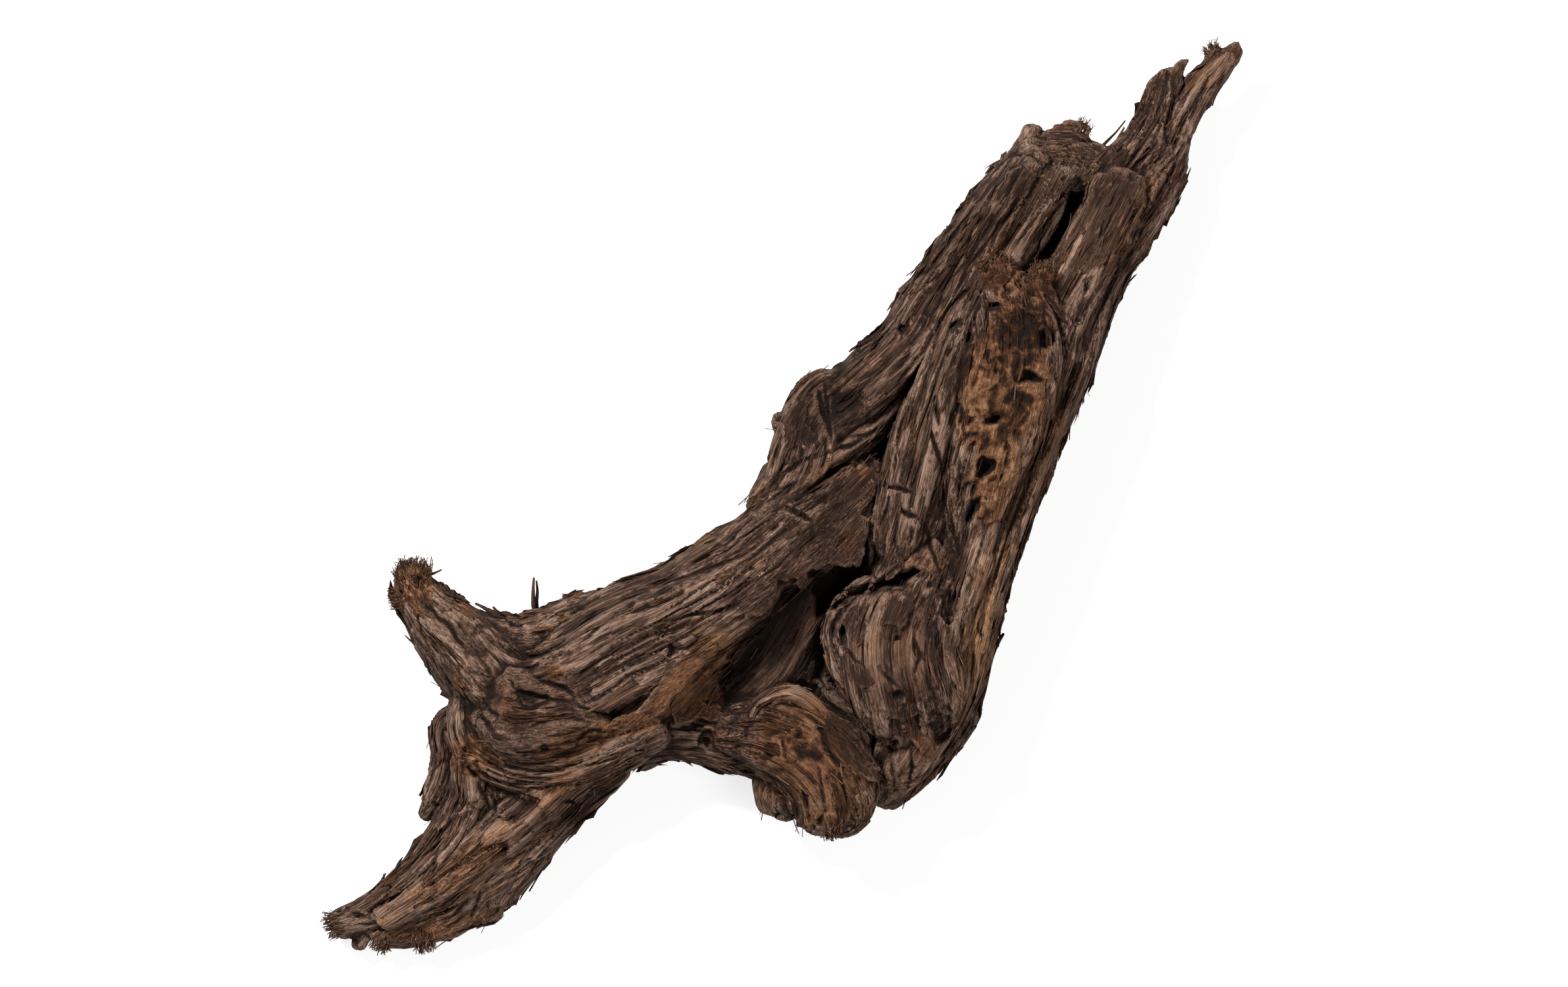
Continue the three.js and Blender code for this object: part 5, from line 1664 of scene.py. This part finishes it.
def fibre_group():
    """A geometry group that grows bent, pointed fibres out of a surface, along its stored way."""
    tree = bpy.data.node_groups.new("fibres", "GeometryNodeTree")
    tree.interface.new_socket(name="Geometry", in_out="OUTPUT", socket_type="NodeSocketGeometry")
    tree.interface.new_socket(name="Geometry", in_out="INPUT", socket_type="NodeSocketGeometry")
    for name in ("Density", "Shortest", "Longest", "Thickness", "Bend", "Spread", "Rust"):
        tree.interface.new_socket(name=name, in_out="INPUT", socket_type="NodeSocketFloat")
    tree.interface.new_socket(name="Seed", in_out="INPUT", socket_type="NodeSocketInt")
    tree.interface.new_socket(name="Material", in_out="INPUT", socket_type="NodeSocketMaterial")
    make = NodeMaker(tree)
    given = tree.nodes.new("NodeGroupInput")
    take = {socket.name: Wire(make, socket) for socket in given.outputs if socket.name}
    points = make.add(
        "GeometryNodeDistributePointsOnFaces",
        {"distribute_method": "RANDOM"},
        {"Mesh": take["Geometry"], "Density": take["Density"], "Seed": take["Seed"]},
    )

    def random(kind, output, low, high, shift):
        first = {"FLOAT_VECTOR": 0, "FLOAT": 2}[kind]
        sockets = {first: low, first + 1: high, 8: take["Seed"] + shift}
        return make.add("FunctionNodeRandomValue", {"data_type": kind}, sockets, output)

    line = make.add("GeometryNodeCurvePrimitiveLine", {}, {"End": (0, 0, 1)})
    line = make.add("GeometryNodeResampleCurve", {}, {"Curve": line, "Count": 5})
    height = make.add("ShaderNodeSeparateXYZ", {}, {0: make.add("GeometryNodeInputPosition")}, 2)
    shift = make.add("ShaderNodeCombineXYZ", {}, {0: height * height * take["Bend"]})
    line = make.add("GeometryNodeSetPosition", {}, {"Geometry": line, "Offset": shift})
    line = make.add("GeometryNodeSetCurveRadius", {}, {"Curve": line, "Radius": 1 - height * 0.8})
    ring = make.add("GeometryNodeCurvePrimitiveCircle", {}, {"Resolution": 4, "Radius": take["Thickness"]})
    sockets = {"Curve": line, "Profile Curve": ring, "Fill Caps": True}
    fibre = make.add("GeometryNodeCurveToMesh", {}, sockets)

    way = make.add("GeometryNodeInputNamedAttribute", {"data_type": "FLOAT_VECTOR"}, {"Name": "way"})
    spread = make.add("ShaderNodeCombineXYZ", {}, {k: take["Spread"] for k in range(3)})
    off = random("FLOAT_VECTOR", 0, (-1, -1, -1), (1, 1, 1), 1)
    off = make.add("ShaderNodeVectorMath", {"operation": "MULTIPLY"}, {0: off, 1: spread})
    way = make.add("ShaderNodeVectorMath", {"operation": "ADD"}, {0: way, 1: off})
    turn = make.add("FunctionNodeAlignRotationToVector", {"axis": "Z"}, {"Vector": way})
    sockets = {"Axis": (0, 0, 1), "Angle": random("FLOAT", 1, 0.0, 6.28, 2)}
    roll = make.add("FunctionNodeAxisAngleToRotation", {}, sockets)
    turn = make.add("FunctionNodeRotateRotation", {"rotation_space": "LOCAL"}, {0: turn, 1: roll})
    length = random("FLOAT", 1, take["Shortest"], take["Longest"], 3)
    sockets = {"Points": points, "Instance": fibre, "Rotation": turn, "Scale": length}
    grown = make.add("GeometryNodeInstanceOnPoints", {}, sockets)
    settings = {"data_type": "FLOAT", "domain": "INSTANCE"}
    for name, low, high, shift in (("relief", 0.35, 0.95, 4), ("rot", 0.0, take["Rust"], 5)):
        grown = make.add(
            "GeometryNodeStoreNamedAttribute",
            settings,
            {"Geometry": grown, "Name": name, "Value": random("FLOAT", 1, low, high, shift)},
        )
    grown = make.add("GeometryNodeRealizeInstances", {}, {"Geometry": grown})
    grown = make.add("GeometryNodeSetMaterial", {}, {"Geometry": grown, "Material": take["Material"]})
    made = tree.nodes.new("NodeGroupOutput")
    tree.links.new(grown.socket, made.inputs[0])
    return tree


# Tufts of fibres: (x, y, reach, way x, way y, way z).
TUFTS = [
    (-157, -33, 7.5, -0.1, 0.6, 0.8),
    (-163, -43, 4, -0.8, 0.2, 0.6),
    (20, -138, 4.5, 0, -1, 0.15),
    (-192, -183, 5, -0.9, -0.1, 0.2),
    (88, 97, 7, 0.4, 0.8, 0.4),
    (109, 95, 5, 0.2, 0.9, 0.3),
    (183, 189, 3.5, -0.3, 0.9, 0.1),
    (128, 157, 4, 0.3, 0.9, 0.2),
    (-154, -188, 5, 0.1, -0.8, 0.5),
    (-172, -189, 4, -0.1, -0.8, 0.5),
    (-133, -109, 4, -0.6, 0.3, 0.7),
]


def grain_way(points, limbs):
    """The direction of the grain at each point."""
    grain = GrainMap(points, limbs)
    way = np.tile([1.0, 0.0, 0.0], (len(points), 1))
    owner = np.round(grain.place[0][:, 0] / GrainMap.APART).astype(int)
    for one in limbs:
        mine = np.flatnonzero(owner == one.index)
        s = grain.place[0][mine, 0] - GrainMap.APART * one.index
        for axis in range(3):
            way[mine, axis] = np.interp(s, one.reach, one.along[:, axis])
    return way


def build_fibres(name, body, keep, way, settings, material):
    """Grows fibres out of the kept faces of the wood, along the way given for each of its points."""
    mesh = body.data
    corners = np.array([tuple(mesh.polygons[i].vertices)[:3] for i in keep])
    used, index = np.unique(corners, return_inverse=True)
    points, _ = mesh_arrays(mesh)
    carrier = new_piece(name, points[used], [tuple(face) for face in index.reshape(-1, 3)])
    store_vectors(carrier.data, "way", "POINT", way[used])
    group = bpy.data.node_groups.get("fibres") or fibre_group()
    modifier = carrier.modifiers.new("Fibres", "NODES")
    modifier.node_group = group
    for socket in group.interface.items_tree:
        if socket.name in settings:
            modifier[socket.identifier] = settings[socket.name]
        elif socket.name == "Material":
            modifier[socket.identifier] = material
    mesh = bpy.data.meshes.new_from_object(carrier.evaluated_get(bpy.context.evaluated_depsgraph_get()))
    carrier.modifiers.clear()
    carrier.data = mesh
    points, _ = mesh_arrays(mesh)
    room = np.array([[-SIDE_ROOM, -SIDE_ROOM, 0], [SIDE_ROOM, SIDE_ROOM, TOP_ROOM]])
    low, high = np.array(CAD_BOX) + room * MM
    if np.any(points < low - ROOM_SLIP * MM) or np.any(points > high + ROOM_SLIP * MM):
        set_points(mesh, np.clip(points, low, high))
    finish_piece(carrier, material)


FIRST_TWIG = 100  # number of the first twig, past those of the limbs
TWIG_FLATNESS = 0.85  # depth of a twig as a share of its width
# Twigs and long splinters: (half width at the root, half width at the tip, points along it).
TWIGS = [
    (1.3, 0.5, [-104, -55, 40, -106, -47, 44, -106.3, -40, 46, -106, -34, 47]),
    (1.1, 0.4, [-103.5, -54, 40, -105, -46, 42, -104.6, -40, 43, -105, -35.2, 43]),
    (1.6, 1.0, [-136, -88, 34, -141, -85.5, 33, -146, -83.2, 33]),
    (0.8, 0.3, [133, 147, 34, 138, 152, 36, 141, 155, 37, 145.3, 160.3, 38]),
    (1.0, 0.4, [140, 147, 34, 142, 152, 35, 145, 157.5, 36]),
    (1.1, 0.4, [70, 108, 34, 66, 105, 33, 62.3, 101, 32]),
    (1.2, 0.5, [64, 93, 34, 58, 91, 33, 52.2, 89, 32]),
    (1.0, 0.3, [60, 88, 32, 56, 84, 30, 53.2, 80.4, 29]),
    (1.4, 0.5, [-119, -53, 42, -124, -49, 44, -127, -47, 44, -131, -45, 44]),
    (1.2, 0.5, [-116, -54, 41, -120, -50.5, 43, -123.5, -46.4, 43]),
    (1.4, 0.7, [-112, -55, 40, -117, -49.5, 42, -120, -49, 42]),
    (0.8, 0.3, [-150, -42, 46, -147, -40, 47, -144.8, -42, 47]),
    (0.8, 0.4, [-151, -36, 46, -148, -36, 47, -144.2, -36.5, 47]),
    (0.8, 0.3, [-151, -33, 46, -148, -32, 47, -145, -30.6, 47]),
    (0.9, 0.3, [178, 184, 33, 180, 187, 33, 182.5, 190.6, 33]),
    (0.7, 0.3, [182, 189, 33, 184.5, 191.6, 33, 188, 190, 33]),
    (0.9, 0.3, [141, 90, 30, 139, 82, 28, 138, 74, 27]),
    (1.0, 0.4, [148, 99, 30, 146, 92, 30, 141.5, 84.5, 30]),
    (0.8, 0.3, [38, -92, 48, 35, -95, 47, 32.6, -98, 46]),
    (0.6, 0.2, [40, -92, 48, 37, -94, 48, 34.4, -95.6, 48]),
    (0.8, 0.3, [82, -93, 22, 82.5, -95, 22, 81, -99.5, 22]),
    (0.7, 0.3, [56, -117, 20, 57.5, -119.5, 20, 58.6, -121.6, 20]),
    (0.7, 0.3, [-185, -180, 18, -185.5, -177, 20, -185.7, -174.6, 21]),
    (0.6, 0.3, [-50, -33, 74, -42, -42, 76.5, -36, -47.5, 76]),
    (0.5, 0.25, [-33, -39, 79, -30, -41, 79.5, -26.5, -43, 79]),
    (0.6, 0.3, [9, -104, 76, 12, -99, 77, 15, -95, 76]),
    (1.0, 0.4, [96, -20, 36, 90, -33, 34, 88.5, -44, 30]),
]


def build_twigs(material):
    """The twigs and long splinters that stand off the wood."""
    parts, grain = [], []
    for index, (wide, narrow, numbers) in enumerate(TWIGS):
        rows = np.array(numbers, float).reshape(-1, 3)
        size = np.linspace(wide, narrow, len(rows))[:, None]
        sections = np.hstack([rows, size, TWIG_FLATNESS * size])
        one = Limb(FIRST_TWIG + index, flutes=3, rows=sections, roll=0.0, spacing=1.2, sides=8)
        ring, faces = one.skin()
        ring += 0.12 * Noise.at(*(ring * 1.3).T, 60)[:, None]
        place, _ = one.local(ring)
        place[:, 0] += GrainMap.APART * one.index
        parts.append((ring, faces))
        grain.append(place)
    points, faces = merged(parts)
    piece = new_piece("twigs", points * MM, faces)
    for name, value in (("dark", 0.15), ("rot", 0.15), ("relief", 0.45)):
        add_values(piece.data, name, np.full(len(points), value))
    store_vectors(piece.data, "grain", "POINT", np.vstack(grain) * MM)
    finish_piece(piece, material)


class DriftwoodSizes(bpy.types.PropertyGroup):
    """Sizes of the wood's mesh and of its ridges and grain."""

    first_voxel: FloatProperty(
        name="First voxel", description="Cell that joins the limbs",
        default=1.25 * MM, unit="LENGTH", precision=5,
    )
    second_voxel: FloatProperty(
        name="Second voxel", description="Cell that holds the grain",
        default=0.95 * MM, unit="LENGTH", precision=5,
    )
    blend_rounds: IntProperty(
        name="Blend rounds", description="How softly limbs flow together", default=5, min=0
    )
    ridge_height: FloatProperty(
        name="Ridge height", description="Height of the wide ridges",
        default=1.0 * MM, unit="LENGTH", precision=5,
    )
    grain_height: FloatProperty(
        name="Grain height", description="Height of the narrow ridges",
        default=1.0 * MM, unit="LENGTH", precision=5,
    )
    face_limit: IntProperty(
        name="Face limit", description="Most triangles in the body", default=195000, min=1000
    )
    tuft_density: FloatProperty(
        name="Tuft density", description="Fibres in a square metre of a tuft", default=1.1e6
    )
    splinter_density: FloatProperty(
        name="Splinter density", description="Small splinters in a square metre of the wood",
        default=11000.0,
    )
    layer_limit: IntProperty(
        name="Layer limit", description="Most triangles in each kind of torn layer",
        default=190000, min=1000,
    )


class DriftwoodColours(bpy.types.PropertyGroup):
    """Colours of the weathered wood, as shaded and lit copies.

    The crevice and shade colours are painted shade; the worn colour is grey wear and painted highlight,
    and the light rot colour is light torn wood and painted highlight.
    """

    # Near black painted shade of deep cracks and hollows.
    crevice_shade: FloatVectorProperty(
        name="Crevice", description="Deep cracks", subtype="COLOR", default=(0.0085, 0.0046, 0.0032)
    )
    shade: FloatVectorProperty(
        name="Shade", description="Low wood", subtype="COLOR", default=(0.026, 0.0134, 0.0085)
    )
    wood: FloatVectorProperty(
        name="Wood", description="Open wood", subtype="COLOR", default=(0.077, 0.041, 0.0268)
    )
    # Grey of worn crests, and also the painted highlight at the top of the grey ramp.
    wear_and_highlight: FloatVectorProperty(
        name="Worn wood", description="Grey worn crests", subtype="COLOR", default=(0.245, 0.157, 0.115)
    )
    rot_shade: FloatVectorProperty(
        name="Rot shade", description="Low rotten wood", subtype="COLOR", default=(0.033, 0.013, 0.0058)
    )
    rot: FloatVectorProperty(
        name="Rotten wood", description="Orange brown wood",
        subtype="COLOR", default=(0.102, 0.0442, 0.0205),
    )
    # Light torn wood, and the painted highlight of the rotten wood at the top of its ramp.
    torn_rot_and_highlight: FloatVectorProperty(
        name="Light rot", description="Light torn wood", subtype="COLOR", default=(0.24, 0.124, 0.064)
    )


class DriftwoodStage(bpy.types.PropertyGroup):
    """The camera's distance and the strength of the lights."""

    camera_height: FloatProperty(
        name="Camera height", description="Height of the camera over the floor", default=4.0, unit="LENGTH"
    )
    key_power: FloatProperty(
        name="Key light", description="Power of the key light, in watts", default=120.0
    )
    fill_power: FloatProperty(
        name="Fill light", description="Power of the fill light, in watts", default=45.0
    )
    sky: FloatProperty(name="Sky", description="Strength of the light from all round", default=0.3)


class DRIFTWOOD_OT_body(bpy.types.Operator):
    """Builds the body of the wood and the skins of its torn plates"""

    bl_idname = "driftwood.body"
    bl_label = "Body of the Wood"

    def execute(self, context):
        scene = context.scene
        material = wood_material(scene.driftwood_colours)
        limbs = all_limbs()
        tops = build_body(limbs, scene.driftwood_sizes, material)
        build_plates(limbs, tops, material)
        return {"FINISHED"}


class DRIFTWOOD_OT_layers(bpy.types.Operator):
    """Lays torn layers, flakes and slivers over the wood"""

    bl_idname = "driftwood.layers"
    bl_label = "Torn Layers"

    def execute(self, context):
        sizes = context.scene.driftwood_sizes
        body = bpy.data.objects["driftwood_body"]
        for seed, (name, kind) in enumerate(LAYERS.items()):
            build_layers(name, kind, body, seed, sizes.layer_limit, body.data.materials[0])
        return {"FINISHED"}


class DRIFTWOOD_OT_fibres(bpy.types.Operator):
    """Grows tufts of fibres and small splinters, and adds the twigs"""

    bl_idname = "driftwood.fibres"
    bl_label = "Fibres and Twigs"

    def execute(self, context):
        sizes = context.scene.driftwood_sizes
        body = bpy.data.objects["driftwood_body"]
        material = body.data.materials[0]
        points, normals = mesh_arrays(body.data)
        limbs = all_limbs()
        middle = read(body.data.polygons, "center", 3) / MM
        facing = read(body.data.polygons, "normal", 3)
        way = 0.5 * normals
        keep = np.zeros(len(middle), bool)
        for x, y, reach, *toward in TUFTS:
            toward = np.array(toward)
            keep |= (np.hypot(middle[:, 0] - x, middle[:, 1] - y) < reach) & (facing @ toward > 0.15)
            near = np.hypot(points[:, 0] / MM - x, points[:, 1] / MM - y) < reach * 1.2
            way[near] = 0.35 * normals[near] + toward
        tufts = {
            "Density": sizes.tuft_density, "Shortest": 1.5 * MM, "Longest": 4.2 * MM,
            "Thickness": 0.055, "Bend": 0.3, "Spread": 0.5, "Seed": 5, "Rust": 1.0,
        }
        build_fibres("tufts", body, np.flatnonzero(keep), way, tufts, material)
        along = grain_way(points / MM, limbs)
        along *= np.where(np.sin(points[:, :1] * 90 + 1) > 0, 1, -1)
        splinters = {
            "Density": sizes.splinter_density, "Shortest": 2.0 * MM, "Longest": 7.0 * MM,
            "Thickness": 0.035, "Bend": 0.12, "Spread": 0.14, "Seed": 9, "Rust": 0.15,
        }
        upward = np.flatnonzero((facing[:, 2] > -0.5) & (middle[:, 2] > 6))
        build_fibres("splinters", body, upward, along + 0.12 * normals, splinters, material)
        build_twigs(material)
        return {"FINISHED"}


class DRIFTWOOD_OT_stage(bpy.types.Operator):
    """Builds the floor, the lights and the camera"""

    bl_idname = "driftwood.stage"
    bl_label = "Floor, Lights and Camera"

    FLOOR_REACH = 6.0
    FLOOR_DROP = 0.0004
    VIEW_WIDTH = 0.66724  # what the picture's width spans at the middle of the wood
    VIEW_CENTRE = (0.00014, 0.00168)
    MIDDLE = 0.035  # height of the middle of the wood
    SENSOR = 36.0
    KEY_LIGHT = ((-0.95, 1.05, 2.15), 0.5)  # place and size
    FILL_LIGHT = ((0.9, -0.5, 2.8), 1.2)
    FLOOR_GREY = (0.32, 0.32, 0.32, 1.0)
    FLOOR_GLOW = 0.75  # keeps the floor near white

    def execute(self, context):
        scene = context.scene
        stage = scene.driftwood_stage
        r, z = self.FLOOR_REACH, -self.FLOOR_DROP
        floor = new_piece("floor", [(-r, -r, z), (r, -r, z), (r, r, z), (-r, r, z)], [(0, 1, 2, 3)])
        floor.data.materials.append(self.floor_material())
        self.light("key_light", *self.KEY_LIGHT, stage.key_power)
        self.light("fill_light", *self.FILL_LIGHT, stage.fill_power)
        world = bpy.data.worlds.new("soft_sky")
        world.use_nodes = True
        background = world.node_tree.nodes["Background"]
        background.inputs["Color"].default_value = (1, 1, 1, 1)
        background.inputs["Strength"].default_value = stage.sky
        scene.world = world
        data = bpy.data.cameras.new("camera")
        data.sensor_width = self.SENSOR
        data.lens = self.SENSOR * (stage.camera_height - self.MIDDLE) / self.VIEW_WIDTH
        camera = bpy.data.objects.new("camera", data)
        camera.location = (*self.VIEW_CENTRE, stage.camera_height)
        scene.collection.objects.link(camera)
        scene.camera = camera
        scene.view_settings.view_transform = "Standard"
        return {"FINISHED"}

    def floor_material(self):
        material = bpy.data.materials.new("pale_floor")
        make = NodeMaker(material)
        sockets = {
            "Base Color": self.FLOOR_GREY,
            "Roughness": 0.9,
            "Specular IOR Level": 0.0,
            "Emission Color": (1.0, 1.0, 1.0, 1.0),
            "Emission Strength": self.FLOOR_GLOW,
        }
        make.finish(make.add("ShaderNodeBsdfPrincipled", {}, sockets))
        return material

    def light(self, name, place, size, power):
        data = bpy.data.lights.new(name, "AREA")
        data.shape = "DISK"
        data.size = size
        data.energy = power
        lamp = bpy.data.objects.new(name, data)
        lamp.location = place
        lamp.rotation_euler = (-Vector(place)).to_track_quat("-Z", "Y").to_euler()
        bpy.context.scene.collection.objects.link(lamp)


class DRIFTWOOD_PT_panel(bpy.types.Panel):
    """Lists the steps that build the wood"""

    bl_label = "Driftwood"
    bl_space_type = "VIEW_3D"
    bl_region_type = "UI"
    bl_category = "Driftwood"

    def draw(self, context):
        for suffix in GROUPS:
            group = getattr(context.scene, f"driftwood_{suffix}")
            for name in group.bl_rna.properties.keys():
                if name not in ("name", "rna_type"):
                    self.layout.prop(group, name)
        for step in STEPS:
            self.layout.operator(step.bl_idname)


GROUPS = {"sizes": DriftwoodSizes, "colours": DriftwoodColours, "stage": DriftwoodStage}
STEPS = (DRIFTWOOD_OT_stage, DRIFTWOOD_OT_body, DRIFTWOOD_OT_layers, DRIFTWOOD_OT_fibres)
CLASSES = (*GROUPS.values(), *STEPS, DRIFTWOOD_PT_panel)


def register():
    for one in CLASSES:
        bpy.utils.register_class(one)
    for name, group in GROUPS.items():
        setattr(bpy.types.Scene, f"driftwood_{name}", PointerProperty(type=group))


def unregister():
    for name in GROUPS:
        delattr(bpy.types.Scene, f"driftwood_{name}")
    for one in reversed(CLASSES):
        bpy.utils.unregister_class(one)


def main():
    register()
    bpy.ops.driftwood.stage()
    bpy.ops.driftwood.body()
    bpy.ops.driftwood.layers()
    bpy.ops.driftwood.fibres()
    bpy.context.view_layer.update()


if __name__ == "__main__":
    main()
